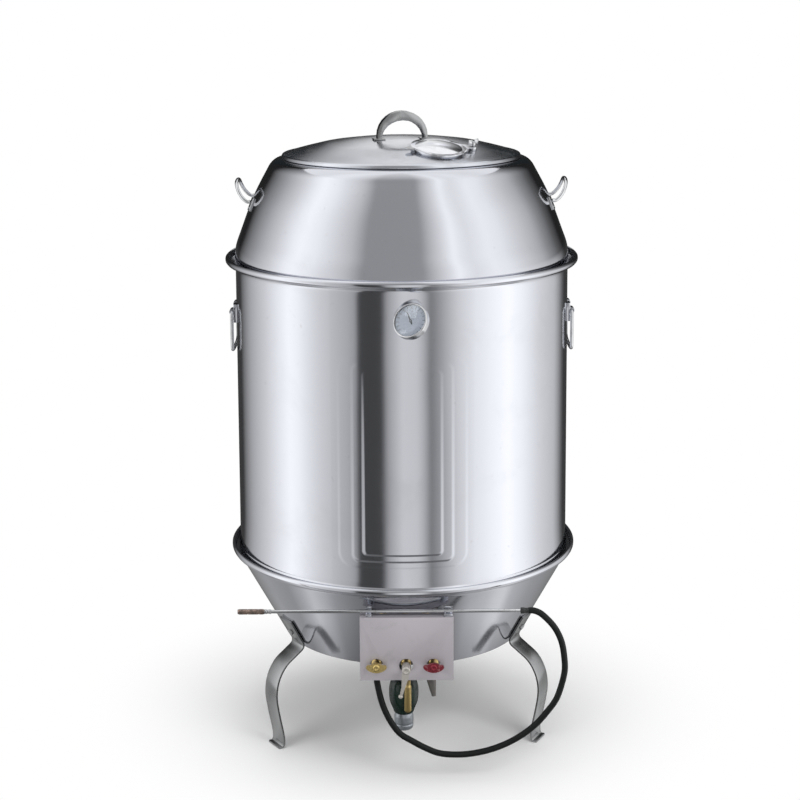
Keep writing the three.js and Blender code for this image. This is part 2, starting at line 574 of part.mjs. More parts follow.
function buildLid() {
  const inner = LID_DOME.map(([r, z]) => [r, z - SHEET]).reverse();
  const profile = [
    [269.8, LID_BOTTOM], [272.3, LID_BOTTOM + 1], [271, 1365.4], ...LID_DOME, ...inner, [269.2, 1363.4],
  ];
  const hole = rod(VENT.bore + 3.8, -30, 30, 24).applyMatrix4(ventFrame());
  add('lid_dome', carve([turned(profile, 40)], [hole]), 'steel');

  const { x, y, turn, half, rise, innerHalf, innerRise, depth } = LID_HANDLE;
  const outline = [];
  for (let i = 0; i <= 14; i += 1) {
    const angle = Math.PI * (1 - i / 14);
    outline.push([half * Math.cos(angle), 9 + (rise - 9) * Math.sin(angle)]);
  }
  outline.push([half, -6], [innerHalf, -6]);
  for (let i = 0; i <= 12; i += 1) {
    const angle = (Math.PI * i) / 12;
    outline.push([innerHalf * Math.cos(angle), innerRise * Math.sin(angle)]);
  }
  outline.push([-innerHalf, -6], [-half, -6]);
  const upright = new THREE.Matrix4().makeBasis(vec(1, 0, 0), UP, vec(0, -1, 0));
  const pieces = [plate(outline, -depth / 2, depth / 2).applyMatrix4(upright)];
  for (const side of [-1, 1]) {
    pieces.push(block(side * 53 - 13, side * 53 + 13, -13, 13, -8, 3.4));
  }
  const place = new THREE.Matrix4().makeRotationZ(rad(turn)).setPosition(x, y, 1399);
  add('lid_handle', carve([carve(pieces).applyMatrix4(place)], [aroundLid]), 'steel');
}

function buildVent() {
  const frame = ventFrame();
  const { bore, disc, reach } = VENT;
  add('vent_collar', ring(bore, bore + 3.5, -9, 3.5, 24).applyMatrix4(frame), 'steel');
  const crown = turned([[0, 5.8], [52, 3.8], [disc, 3.8], [disc, 5.3], [52, 5.5], [0, 7.5]], 28);
  const arm = plate([[54, -16], [reach + 4, -9], [reach + 9, 0], [reach + 4, 9], [54, 16]], 3.8, 5.3);
  const tab = plate([[-54, 12], [-76, 6], [-80, 0], [-76, -6], [-54, -12]], 3.8, 5.3);
  const damper = carve([crown, arm, tab], [rod(3.4, 0, 10, 10).translate(reach, 0, 0)]);
  add('vent_damper', damper.applyMatrix4(frame), 'steel');
  const stud = carve([rod(9, -14, 3.5, 14), rod(3, 0, 16, 10)]).translate(reach, 0, 0);
  add('vent_pivot_stud', carve([stud.applyMatrix4(frame)], [aroundLid]), 'steel');
  const wings = [block(-14, -4, -1.3, 1.3, 8, 20), block(4, 14, -1.3, 1.3, 8, 20)];
  const nut = carve([rod(6, 5.7, 13, 10), ...wings], [rod(3.4, 4, 22, 10)]).rotateZ(rad(20));
  add('vent_wing_nut', nut.translate(reach, 0, 0).applyMatrix4(frame), 'steel');
}

// Lighting wand and its hose
function buildWand() {
  const { y, z, rodR, rodLeft, rodRight } = WAND;
  const alongX = (profile, start, segments) => turned(profile, segments)
    .applyMatrix4(frameAlong(vec(1, 0, 0), vec(start, y, z), UP));
  add('wand_tube', alongX([[0, 0], [rodR, 0], [rodR, rodRight - rodLeft], [0, rodRight - rodLeft]], rodLeft, 8),
    'steel');
  add('wand_collar', alongX([[0, 0], [5, 0], [5, 14], [0, 14]], rodLeft - 14 - GAP, 10), 'steel');
  add('wand_tip', alongX([[0, 0], [4.8, 0], [6, 4], [6, 55], [5, 59], [0, 59]], rodLeft - 73 - 2 * GAP, 12),
    'copper');
  add('wand_ferrule', alongX([[0, 0], [7, 0], [7, 8], [6.2, 8], [6.2, 17.2], [0, 17.2]], rodRight + GAP, 12),
    'black');
  add('wand_hose', tube(smooth(HOSE_POINTS), HOSE_R, 28, 10), 'rubber');
}

buildBase();
buildLegs();
buildPanel();
buildManifold();
buildCocks();
buildCockHandles();
buildMixer();
buildBurner();
buildTray();
buildDrum();
buildThermometer();
buildDrumHandles();
buildRack();
buildHood();
buildLid();
buildVent();
buildWand();

export default oven;
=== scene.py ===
"""Gas duck roasting oven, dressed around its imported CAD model. The front faces -Y and +Z is up.
Shapes are drawn in millimetres and turned into metres as each piece is finished."""

from math import asin, atan2, cos, degrees, hypot, pi, radians, sin, sqrt, tan

import bmesh
import bpy
from mathutils import Matrix, Vector


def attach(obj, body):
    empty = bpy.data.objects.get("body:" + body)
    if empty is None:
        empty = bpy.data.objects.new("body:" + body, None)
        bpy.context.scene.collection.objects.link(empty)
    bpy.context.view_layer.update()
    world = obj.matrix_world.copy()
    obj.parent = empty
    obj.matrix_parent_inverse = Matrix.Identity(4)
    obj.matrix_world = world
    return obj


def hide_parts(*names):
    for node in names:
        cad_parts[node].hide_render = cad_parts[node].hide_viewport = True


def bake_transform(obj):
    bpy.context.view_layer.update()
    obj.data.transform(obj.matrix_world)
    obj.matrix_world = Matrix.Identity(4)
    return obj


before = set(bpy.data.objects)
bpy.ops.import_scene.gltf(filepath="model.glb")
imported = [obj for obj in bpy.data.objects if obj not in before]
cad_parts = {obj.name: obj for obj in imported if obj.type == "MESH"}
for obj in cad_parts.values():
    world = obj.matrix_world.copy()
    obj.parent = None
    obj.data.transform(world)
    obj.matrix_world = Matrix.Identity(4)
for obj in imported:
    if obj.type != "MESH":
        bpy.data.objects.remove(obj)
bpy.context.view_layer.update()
scene = bpy.context.scene


# Camera: a long lens four metres in front of the oven and a little above its lid,
# tipped down so that the floor fills the picture behind it.
camera_data = bpy.data.cameras.new("camera")
camera_data.lens = 80.67
camera_data.sensor_width = 36
camera_data.shift_x = -0.0029
camera_data.clip_end = 200
camera = bpy.data.objects.new("camera", camera_data)
scene.collection.objects.link(camera)
tipped_down = Matrix.Rotation(radians(90 - 13.587), 4, "X")
leaning = Matrix.Rotation(radians(-0.286), 4, "Z")
camera.matrix_world = Matrix.Translation((0, -4.1, 1.7764)) @ tipped_down @ leaning
scene.camera = camera


# Rubber hose: black gas hose pushed over the barb under the left cock. It swings down in front
# of the base, up past the right leg, and into the ferrule at the right end of the lighting wand.
HOSE_DIAMETER = 14
HOSE_ROUTE = [
    (274.8, -385, 402), (285, -385, 402), (298, -386, 397.5), (310, -387, 388.5), (333, -387, 362),
    (348, -388, 330), (355, -389, 290), (356, -389, 263), (350, -389, 231), (338, -390, 195),
    (318, -390, 165), (293, -390, 135), (260, -390, 108), (224, -389, 87), (183, -389, 72),
    (132, -388, 63), (80, -388, 66), (47, -387, 79), (15, -386, 97), (-6, -385, 110),
    (-23, -383, 130), (-38, -382, 157), (-49, -380, 186), (-56, -378, 215), (-60, -377, 240),
    (-60, -377, 255.7),
]


def smooth_path(corners, per_span):
    """A smooth line through the corners."""
    ends = [Vector(p) for p in corners]
    ends = [2 * ends[0] - ends[1], *ends, 2 * ends[-1] - ends[-2]]
    path = []
    for a, b, c, d in zip(ends, ends[1:], ends[2:], ends[3:]):
        t0, t1, t2 = (sqrt((q - p).length) for p, q in ((a, b), (b, c), (c, d)))
        leave = ((b - a) / t0 - (c - a) / (t0 + t1) + (c - b) / t1) * t1
        arrive = ((c - b) / t1 - (d - b) / (t1 + t2) + (d - c) / t2) * t1
        for i in range(per_span):
            s = i / per_span
            path.append(b + leave * s + (3 * (c - b) - 2 * leave - arrive) * s ** 2
                        + (2 * (b - c) + leave + arrive) * s ** 3)
    return path + [ends[-2]]


def join_rings(bm, rings, closed=False):
    """Walls between neighbouring rings of points. A ring of one point is a pole."""
    pairs = list(zip(rings, rings[1:])) + ([(rings[-1], rings[0])] if closed else [])
    for low, high in pairs:
        for i in range(max(len(low), len(high))):
            j = i + 1
            corners = [low[i % len(low)], low[j % len(low)], high[j % len(high)], high[i % len(high)]]
            bm.faces.new(list(dict.fromkeys(corners)))


def full_turn(count):
    """Angles spaced evenly round a circle."""
    return [2 * pi * i / count for i in range(count)]


def capped(bm, rings):
    """Walls between the rings, and a flat face at either end."""
    join_rings(bm, rings)
    bm.faces.new(rings[0])
    bm.faces.new(rings[-1])


def along_path(path, i):
    """The way a path runs at one of its points."""
    return path[min(i + 1, len(path) - 1)] - path[max(i - 1, 0)]


def tube(bm, path, radius, sides):
    """A round bar along a path, with flat ends."""
    rings, across = [], None
    for i, point in enumerate(path):
        along = along_path(path, i).normalized()
        across = along.orthogonal() if across is None else across - along * across.dot(along)
        across.normalize()
        up = along.cross(across)
        rings.append([bm.verts.new(point + radius * (cos(a) * across + sin(a) * up))
                      for a in full_turn(sides)])
    capped(bm, rings)


def as_object(name, bm):
    """Turns drawn millimetres into an object in metres, with its faces outward."""
    bmesh.ops.transform(bm, matrix=Matrix.Scale(0.001, 4), verts=bm.verts)
    bmesh.ops.recalc_face_normals(bm, faces=bm.faces)
    mesh = bpy.data.meshes.new(name)
    bm.to_mesh(mesh)
    bm.free()
    made = bpy.data.objects.new(name, mesh)
    scene.collection.objects.link(made)
    return made


def finished(name, bm, finish, body=None, replaced=None, sharp=32):
    """A piece in its finish, on its body, in place of a CAD node if it names one."""
    piece = as_object(name, bm)
    piece.data.materials.append(finish)
    piece.data.shade_smooth()
    piece.data.set_sharp_from_angle(angle=radians(sharp))
    if body:
        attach(piece, body)
    if replaced:
        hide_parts(replaced)
    return piece


def feed(tree, socket, value):
    """Puts a plain value, a colour or another node's output into an input."""
    if isinstance(value, bpy.types.NodeSocket):
        tree.links.new(value, socket)
    else:
        socket.default_value = (*value, 1) if socket.type == "RGBA" else value


def node(tree, kind, settings=None, **inputs):
    """A node with its settings, and a value or another node's output in each input."""
    made = tree.nodes.new(kind)
    for key, value in (settings or {}).items():
        setattr(made, key, value)
    for key, value in inputs.items():
        feed(tree, made.inputs[key.replace("_", " ")], value)
    return made


def number(tree, kind, a, b):
    """A sum on two values, such as MULTIPLY."""
    made = node(tree, "ShaderNodeMath", {"operation": kind})
    for socket, value in zip(made.inputs, (a, b)):
        feed(tree, socket, value)
    return made.outputs[0]


def blended(tree, mask, first, second):
    """The first colour where the mask is 0 and the second where it is 1."""
    made = node(tree, "ShaderNodeMix", {"data_type": "RGBA"})
    for socket, value in ((0, mask), (6, first), (7, second)):
        feed(tree, made.inputs[socket], value)
    return made.outputs[2]


def from_to(tree, value, low, high):
    """0 up to the low value, 1 from the high one."""
    return node(tree, "ShaderNodeMapRange", Value=value, From_Min=low, From_Max=high).outputs[0]


def between(tree, mask, low, high):
    """The low value where the mask is 0 and the high one where it is 1."""
    return node(tree, "ShaderNodeMapRange", Value=mask, To_Min=low, To_Max=high).outputs[0]


def own_place(tree):
    """Each point's place in its piece, in metres."""
    return node(tree, "ShaderNodeTexCoord").outputs["Object"]


def new_effect(name, sockets):
    """An empty node group with a Mask output. Returns the tree, its inputs and its end."""
    tree = bpy.data.node_groups.new(name, "ShaderNodeTree")
    for key, kind, value in sockets:
        tree.interface.new_socket(key, in_out="INPUT", socket_type=kind).default_value = value
    tree.interface.new_socket("Mask", in_out="OUTPUT", socket_type="NodeSocketFloat")
    return tree, tree.nodes.new("NodeGroupInput").outputs, tree.nodes.new("NodeGroupOutput").inputs


# Long fine marks in one direction, as rolling, brushing, turning or drawing leaves in metal
streaks, given, out = new_effect("streaks", [
    ("Stretch", "NodeSocketVector", (1, 1, 1)), ("Fineness", "NodeSocketFloat", 100.0)])
stretched = node(streaks, "ShaderNodeVectorMath", {"operation": "MULTIPLY"})
feed(streaks, stretched.inputs[0], own_place(streaks))
feed(streaks, stretched.inputs[1], given["Stretch"])
marks = node(streaks, "ShaderNodeTexNoise", Vector=stretched.outputs[0], Scale=given["Fineness"],
             Detail=5.0, Roughness=0.65)
feed(streaks, out["Mask"], from_to(streaks, marks.outputs[0], 0.3, 0.7))

# Cloudy patches: handling marks, heat dulling, dust, or uneven casting skin
patches, given, out = new_effect("patches", [
    ("Size", "NodeSocketFloat", 0.1), ("Cover", "NodeSocketFloat", 0.5), ("Softness", "NodeSocketFloat", 0.2),
    ("Detail", "NodeSocketFloat", 6.0)])
often = number(patches, "DIVIDE", 1.0, given["Size"])
cloud = node(patches, "ShaderNodeTexNoise", Vector=own_place(patches), Scale=often, Detail=given["Detail"],
             Roughness=0.58, Distortion=0.4)
start = number(patches, "SUBTRACT", 1.0, given["Cover"])
stop = number(patches, "ADD", start, given["Softness"])
level = node(patches, "ShaderNodeMapRange", {"interpolation_type": "SMOOTHSTEP"}, Value=cloud.outputs[0],
             From_Min=start, From_Max=stop)
feed(patches, out["Mask"], level.outputs[0])

# Small pits and grains: sand-cast skin, powder coat, or the bloom on rubber
pits, given, out = new_effect("pits", [("Size", "NodeSocketFloat", 0.002)])
place = own_place(pits)
often = number(pits, "DIVIDE", 1.0, given["Size"])
coarse = node(pits, "ShaderNodeTexNoise", Vector=place, Scale=often, Detail=3.0, Roughness=0.5)
fine = node(pits, "ShaderNodeTexVoronoi", Vector=place, Scale=often)
feed(pits, out["Mask"], number(pits, "MULTIPLY", coarse.outputs[0], fine.outputs["Distance"]))


def pitted(size):
    return pits, {"Size": size}


def streaked(stretch, fineness):
    return streaks, {"Stretch": stretch, "Fineness": fineness}


def clouded(size, cover, softness, detail=6.0):
    return patches, {"Size": size, "Cover": cover, "Softness": softness, "Detail": detail}


def effect(tree, chosen):
    """One of the three effects above placed in a material, as a mask from 0 to 1."""
    group, inputs = chosen
    return node(tree, "ShaderNodeGroup", {"node_tree": group}, **inputs).outputs["Mask"]


def new_finish(name, slot, **shader):
    """A material with its shader's plain values set. Returns it, its tree and its shader."""
    material = bpy.data.materials.new(name)
    material.use_nodes = True
    material["slot"] = slot
    surface = material.node_tree.nodes["Principled BSDF"]
    for key, value in shader.items():
        surface.inputs[key.replace("_", " ")].default_value = value
    return material, material.node_tree, surface


def uneven(tree, surface, light, dark, colour_mask, smooth, rough, rough_mask, height, depth):
    """Drives colour, roughness and relief from masks. The relief is that many metres deep."""
    feed(tree, surface.inputs["Base Color"], blended(tree, colour_mask, light, dark))
    feed(tree, surface.inputs["Roughness"], between(tree, rough_mask, smooth, rough))
    relief = node(tree, "ShaderNodeBump", Height=height, Strength=1.0, Distance=depth)
    feed(tree, surface.inputs["Normal"], relief.outputs[0])


METAL, COATED = {"Metallic": 1.0}, {"IOR": 1.5}


def aged(name, slot, shader, light, dark, smooth, rough, patch, relief, depth):
    """A finish that goes from light to dark and from smooth to rough in the same cloudy patches.
    The patch is their size, cover and softness."""
    made, tree, surface = new_finish(name, slot, **shader)
    wear = effect(tree, clouded(*patch))
    uneven(tree, surface, light, dark, wear, smooth, rough, wear, effect(tree, relief), depth)
    return made


rubber = aged("hose_rubber", "hose_rubber", {**COATED, "Specular_IOR_Level": 0.2}, (0.007, 0.008, 0.008),
              (0.013, 0.014, 0.014), 0.36, 0.55, (0.05, 0.5, 0.3), pitted(0.0012), 0.00012)

hose_line = smooth_path(HOSE_ROUTE, 6)
bm = bmesh.new()
tube(bm, hose_line, HOSE_DIAMETER / 2, 24)
hose = finished("gas_hose", bm, rubber, replaced="wand_hose")
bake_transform(hose)


# Lighting wand: a thin bright tube with a copper-brown burner tip at its left end and a black
# ferrule at its right end. It lies in two open clips and lifts up and forward out of them.
WAND_Y, WAND_Z = -385, 402
UP = Vector((0, 0, 1))


def frame_along(direction, origin, toward=UP):
    """A place whose Z runs along a direction and whose X leans toward another one."""
    z = Vector(direction).normalized()
    y = z.cross(Vector(toward)).normalized()
    placed = Matrix((y.cross(z), y, z)).transposed().to_4x4()
    placed.translation = Vector(origin)
    return placed


def turned(bm, profile, sides, place=Matrix.Identity(4), turns=None):
    """A profile of (radius, height) points turned about Z. It closes on itself, or on the axis."""
    turns = turns or full_turn(sides)
    rings = []
    for r, z in profile:
        around = turns if r else turns[:1]
        rings.append([bm.verts.new(place @ Vector((r * sin(a), -r * cos(a), z))) for a in around])
    join_rings(bm, rings, closed=bool(profile[0][0]))


def rounded(profile, cut, steps=4):
    """The profile with each corner rounded off, no further than cut from it. Points on the axis stay."""
    loop = bool(profile[0][0])
    points = [Vector(p) for p in profile]
    soft = []
    for i, corner in enumerate(points):
        if not loop and i in (0, len(points) - 1):
            soft.append(tuple(corner))
            continue
        before, after = points[i - 1] - corner, points[(i + 1) % len(points)] - corner
        a = corner + before.normalized() * min(cut, 0.45 * before.length)
        b = corner + after.normalized() * min(cut, 0.45 * after.length)
        for k in range(steps + 1):
            s = k / steps
            soft.append(tuple((1 - s) ** 2 * a + 2 * s * (1 - s) * corner + s ** 2 * b))
    return soft


def lathed(name, node_name, finish, body, sides, profile, cut, steps, place=Matrix.Identity(4)):
    """A piece that is one rounded profile, turned about its place."""
    bm = bmesh.new()
    turned(bm, rounded(profile, cut, steps), sides, place)
    finished(name, bm, finish, body, node_name)


rod_steel = aged("drawn_steel", "polished_steel", METAL, (0.60, 0.61, 0.625), (0.42, 0.42, 0.42), 0.14, 0.34,
                 (0.04, 0.52, 0.25), streaked((1, 1, 1), 260.0), 0.00003)
copper = aged("scorched_copper", "copper", METAL, (0.36, 0.27, 0.23), (0.17, 0.14, 0.125), 0.36, 0.6,
              (0.018, 0.56, 0.22), pitted(0.0016), 0.00008)
black_plastic = aged("black_fitting", "black", COATED, (0.014, 0.015, 0.015), (0.035, 0.035, 0.036), 0.3, 0.5,
                     (0.03, 0.5, 0.3), pitted(0.001), 0.00005)

for name, node_name, finish, start, profile in [
    ("wand_rod", "wand_tube", rod_steel, -290.1, [(0, 0), (4, 0), (4, 547.1), (0, 547.1)]),
    ("wand_ring", "wand_collar", rod_steel, -304.4,
     [(0, 0), (5, 0), (5, 4), (4.5, 5), (4.5, 9), (5, 10), (5, 14), (0, 14)]),
    ("wand_burner_tip", "wand_tip", copper, -363.7,
     [(0, 1.5), (3.6, 1.5), (3.8, 0), (4.8, 0), (6, 4), (6, 20), (5.6, 21), (5.6, 23), (6, 24),
      (6, 44), (5.6, 45), (5.6, 47), (6, 48), (6, 55), (5, 59), (0, 59)]),
    ("wand_hose_ferrule", "wand_ferrule", black_plastic, 257.3,
     [(0, 0), (6.6, 0), (7, 0.5), (7, 8), (6.2, 8.6), (6.2, 11), (5.7, 11.5), (6.2, 12), (6.2, 17.2),
      (0, 17.2)]),
]:
    lathed(name, node_name, finish, "wand", 28, profile, 0.4, 2,
           frame_along((1, 0, 0), (start, WAND_Y, WAND_Z)))


# Base: a tapered steel wall, rolled over a wire at its top, with an inner ledge that carries the
# drum. A thin lap seam runs down its back. Its floor is duller sheet with an opening for the burner.
WALL_SIDES = 240
BASE_SHEET = 2
BASE_FOOT, BASE_HEAD = (284, 235), (391, 433)
BASE_SLOPE = atan2(BASE_HEAD[0] - BASE_FOOT[0], BASE_HEAD[1] - BASE_FOOT[1])


def base_radius(z):
    return BASE_FOOT[0] + (z - BASE_FOOT[1]) * tan(BASE_SLOPE)


sheet_steel, tree, surface = new_finish("polished_sheet", "polished_steel", Metallic=1.0)
brushed = effect(tree, streaked((0.012, 0.012, 1), 900.0))
handled = effect(tree, clouded(0.16, 0.5, 0.3))
spotted = effect(tree, clouded(0.012, 0.36, 0.1))
marked = number(tree, "MAXIMUM", number(tree, "MULTIPLY", handled, 0.35),
                number(tree, "MULTIPLY", spotted, 0.5))
waves = effect(tree, clouded(0.25, 0.75, 0.5, 0.5))
relief = number(tree, "ADD", number(tree, "MULTIPLY", brushed, 0.012), waves)
uneven(tree, surface, (0.59, 0.60, 0.645), (0.49, 0.50, 0.525), marked, 0.085, 0.2,
       number(tree, "ADD", number(tree, "MULTIPLY", brushed, 0.35), number(tree, "MULTIPLY", handled, 0.35)),
       relief, 0.0004)

dull_steel = aged("dull_sheet", "dull_steel", METAL, (0.48, 0.485, 0.49), (0.30, 0.285, 0.265), 0.36, 0.6,
                  (0.07, 0.52, 0.2), streaked((0.1, 0.1, 1), 500.0), 0.00006)

SEAM_HALF, SEAM_LIFT = 8, 0.5


def back_seam(bm, line):
    """A thin strip over the joint in a wall, down the back. The line is (radius, height) points."""
    w, t = SEAM_HALF, SEAM_LIFT
    strip = [(-w, -t), (-w, t), (0, t), (w, t), (w, -t), (0, -t)]
    capped(bm, [[bm.verts.new((x, sqrt(r * r - x * x) + y, z)) for x, y in strip] for r, z in line])


base_inset = BASE_SHEET / cos(BASE_SLOPE)
bm = bmesh.new()
back_seam(bm, [(base_radius(z), z) for z in (236, 300, 365, 431)])
turned(bm, rounded([
    (BASE_FOOT[0] - base_inset, BASE_FOOT[1]), BASE_FOOT, BASE_HEAD, (395.5, 438.4), (404, 440.3),
    (406.6, 445), (406.6, 452), (402, 456.5), (398.2, 452), (397.6, 441), (383.5, 441),
    (base_radius(430) - base_inset, 430),
], 2.6), WALL_SIDES)
finished("base_wall", bm, sheet_steel, "base", "base_cone")

floor_edge = base_radius(238) - base_inset - 0.3
lathed("burner_floor", "base_floor", dull_steel, "base", 160,
       [(70, 238), (floor_edge, 238), (floor_edge, 240), (70, 240)], 0.5, 2)


# Legs: three flat steel straps bolted through the base wall. Each curves out in a C and ends in
# a turned-out foot. The bolts are plain hexagon ones.
strap_steel = aged("leg_strap_steel", "polished_steel", METAL, (0.36, 0.365, 0.37), (0.27, 0.27, 0.27),
                   0.2, 0.38, (0.05, 0.5, 0.25), streaked((1, 1, 0.05), 420.0), 0.00004)

LEG_TURNS = {"left": -57, "right": 62.5, "rear": 184}
LEG_WIDTH, LEG_THICK, BOLT_HEIGHT = 53, 5, 276
# A strap's eased corner, measured in from its edge and its face
LEG_EDGE = [(0, 1.2), (0.35, 0.35), (1.2, 0)]


def outward(azimuth):
    """Level direction away from the oven's axis: 0 degrees is the front and 90 is to the right."""
    return Vector((sin(radians(azimuth)), -cos(radians(azimuth)), 0))


def spot_at(azimuth, radius, height):
    return outward(azimuth) * radius + UP * height


def on_base(z):
    return base_radius(z) + (LEG_THICK / 2 + 0.3) / cos(BASE_SLOPE)


leg_line = [(on_base(306), 306), (on_base(262), 262), (on_base(247), 247), (295, 237), (313, 223), (341, 202),
            (360, 171), (367.5, 132), (361.5, 84), (353, 42), (350, 20), (350.5, 9)]
leg_line = smooth_path([(r, 0, z) for r, z in leg_line], 6)
leg_line += [Vector((r, 0, LEG_THICK / 2)) for r in (354, 356, 359, 362, 364)]
for side, azimuth in LEG_TURNS.items():
    across = outward(azimuth + 90)
    rings = []
    bm = bmesh.new()
    for i, point in enumerate(leg_line):
        run = along_path(leg_line, i)
        face = spot_at(azimuth, run.x, run.z).normalized().cross(across)
        middle = spot_at(azimuth, point.x, point.z)
        narrowed = min(1, 0.94 + 0.06 * min(i, len(leg_line) - 1 - i))
        w, t = LEG_WIDTH / 2 * narrowed, LEG_THICK / 2
        outline = [(-w + x, -t + y) for x, y in LEG_EDGE] + [(w - x, -t + y) for x, y in LEG_EDGE[::-1]]
        outline += [(w - x, t - y) for x, y in LEG_EDGE] + [(-w + x, t - y) for x, y in LEG_EDGE[::-1]]
        rings.append([bm.verts.new(middle + across * u + face * v) for u, v in outline])
    capped(bm, rings)
    finished(f"leg_strap_{side}", bm, strap_steel, "base", f"leg_{side}", sharp=50)

    square = spot_at(azimuth, cos(BASE_SLOPE), -sin(BASE_SLOPE))
    place = frame_along(square, spot_at(azimuth, base_radius(BOLT_HEIGHT), BOLT_HEIGHT))
    bm = bmesh.new()
    turned(bm, [(0, 5.9), (7.5, 5.9), (7.5, 9.2), (6.6, 10.4), (0, 10.4)], 6, place)
    turned(bm, rounded([(0, -11), (3.4, -11), (4, -10.4), (4, 6), (0, 6)], 0.3, 2), 20, place)
    turned(bm, [(0, -9), (6.8, -9), (7.5, -8.2), (7.5, -3.6), (6.8, -2.8), (0, -2.8)], 6, place)
    finished(f"leg_hex_bolt_{side}", bm, dull_steel, "base", f"leg_bolt_{side}", sharp=25)


# Control panel: a folded sheet with three round holes for the gas cocks, hung on two brackets
# from the base wall. Its face is left bare. Two sprung steel clips on its top hold the wand.
panel_sheet = aged("panel_enamel", "panel_sheet", {**COATED, "Metallic": 0.35}, (0.45, 0.425, 0.455),
                   (0.38, 0.36, 0.385), 0.38, 0.5, (0.05, 0.5, 0.3), streaked((0.02, 1, 1), 700.0), 0.00002)


def drawn_from(mesh):
    """A finished mesh, opened again in drawn millimetres."""
    bm = bmesh.new()
    bm.from_mesh(mesh)
    bmesh.ops.transform(bm, matrix=Matrix.Scale(1000, 4), verts=bm.verts)
    return bm


def ease_edges(bm, edge, sharp, segments):
    """Bevels every edge that turns by more than that many degrees."""
    corners = [e for e in bm.edges if e.is_manifold and e.calc_face_angle() > radians(sharp)]
    bmesh.ops.bevel(bm, geom=corners, offset=edge, offset_type="OFFSET", segments=segments, profile=0.5,
                    affect="EDGES", clamp_overlap=True)


def eased(node_name, edge=0.4):
    """The CAD node's own form, merged and with its sharp edges eased."""
    bm = drawn_from(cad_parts[node_name].data)
    bmesh.ops.remove_doubles(bm, verts=bm.verts, dist=0.002)
    bmesh.ops.dissolve_limit(bm, angle_limit=radians(1), verts=bm.verts, edges=bm.edges)
    ease_edges(bm, edge, 32, 2)
    return bm


def dressed(name, node_name, finish, body, edge=0.4):
    return finished(name, eased(node_name, edge), finish, body, node_name)


dressed("panel_face", "control_panel", panel_sheet, "base", 0.35)
for side in ("left", "right"):
    dressed(f"panel_hanger_{side}", f"panel_bracket_{side}", dull_steel, "base")
    dressed(f"wand_spring_clip_{side}", f"wand_clip_{side}", sheet_steel, "base", 0.2)


# Gas train: a square manifold behind the panel with three brass cocks. Under them hang the hose
# barb, the long brass jet and the dark pilot spout. Red, gold and plain handles turn the cocks.
GAS_HEIGHT, OUTLET_Y, COCK_BACK_Y, JET_X, PILOT_X = 280, -377, -366.3, 9, 63
COCKS = {"left": -60, "centre": 5.5, "right": 66}

brass = aged("turned_brass", "brass", METAL, (0.62, 0.47, 0.20), (0.36, 0.27, 0.125), 0.28, 0.48,
             (0.015, 0.5, 0.3), streaked((0.05, 0.05, 1), 1400.0), 0.00003)


def under(x):
    """The upright line through the outlets, at that X."""
    return Matrix.Translation((x, OUTLET_Y, 0))


def handle_place(side):
    """A cock's axis as seen from the front: X to the right, Y up and Z forward."""
    return frame_along((0, -1, 0), (COCKS[side], 0, GAS_HEIGHT), (1, 0, 0))


dressed("gas_rail", "gas_manifold", dull_steel, "base", 0.6)
for side, x in COCKS.items():
    stem_end = 55 if side == "centre" else 39
    bm = bmesh.new()
    turned(bm, rounded([(0, 0), (11, 0), (11, 20), (8.5, 23), (8.5, 34), (4, 34), (4, stem_end),
                        (0, stem_end)], 0.6, 2),
           32, frame_along((0, -1, 0), (x, COCK_BACK_Y, GAS_HEIGHT)))
    turned(bm, rounded([(0, 266), (9, 266), (9, 276), (8, 279), (0, 279)], 0.6, 2), 32, under(x))
    finished(f"cock_{side}_plug", bm, brass, "base", f"cock_{side}_body")

lathed("gas_jet", "jet_holder", brass, "base", 40, [
    (0, 161), (6, 161), (8, 165), (8, 222), (6.5, 226), (6.5, 236), (8, 240), (8, 252), (7, 255),
    (7, 265.7), (0, 265.7)], 0.8, 4, under(JET_X))

bm = bmesh.new()
turned(bm, rounded([(0, 256), (5.4, 256), (6, 257), (6, 262), (0, 262)], 0.3, 2), 28, under(COCKS["left"]))
turned(bm, [(0, 259), (8.2, 259), (9, 260), (9, 265), (8.5, 265.7), (0, 265.7)], 6, under(COCKS["left"]))
finished("hose_nipple", bm, brass, "base", "hose_barb", sharp=25)


def raw_casting(name, clean, soiled, metal):
    """A bare sand casting, darker in the patches where it is soiled."""
    return aged(name, "grey_casting", {"Metallic": metal}, clean, soiled, 0.34, 0.58, (0.012, 0.5, 0.3),
                pitted(0.0016), 0.0001)


grey_casting = raw_casting("grey_casting", (0.36, 0.39, 0.42), (0.22, 0.24, 0.26), 0.75)
pale_casting = raw_casting("pale_casting", (0.50, 0.475, 0.44), (0.36, 0.345, 0.32), 0.6)
dark_casting = raw_casting("dark_casting", (0.17, 0.16, 0.15), (0.09, 0.085, 0.08), 0.6)

bm = bmesh.new()
turned(bm, rounded([(0, 3), (3.4, 3), (3.6, 0), (4.6, 0), (5, 1), (10.6, 38), (10.6, 44), (0, 44)], 0.6, 2),
       32, frame_along((-5, 0, 34.5), (67, OUTLET_Y, 199.5), (1, 0, 0)))
turned(bm, rounded([(0, 236), (7.5, 236), (7.5, 265.7), (0, 265.7)], 0.5, 2), 32, under(PILOT_X))
finished("pilot_jet_spout", bm, dark_casting, "base", "pilot_spout")


def painted(name, slot, colour, rubbed, metal):
    """Brushed-on enamel over a casting, rubbed dull in patches."""
    return aged(name, slot, {**COATED, "Metallic": metal}, colour, rubbed, 0.24, 0.5, (0.009, 0.46, 0.2),
                pitted(0.0022), 0.00012)


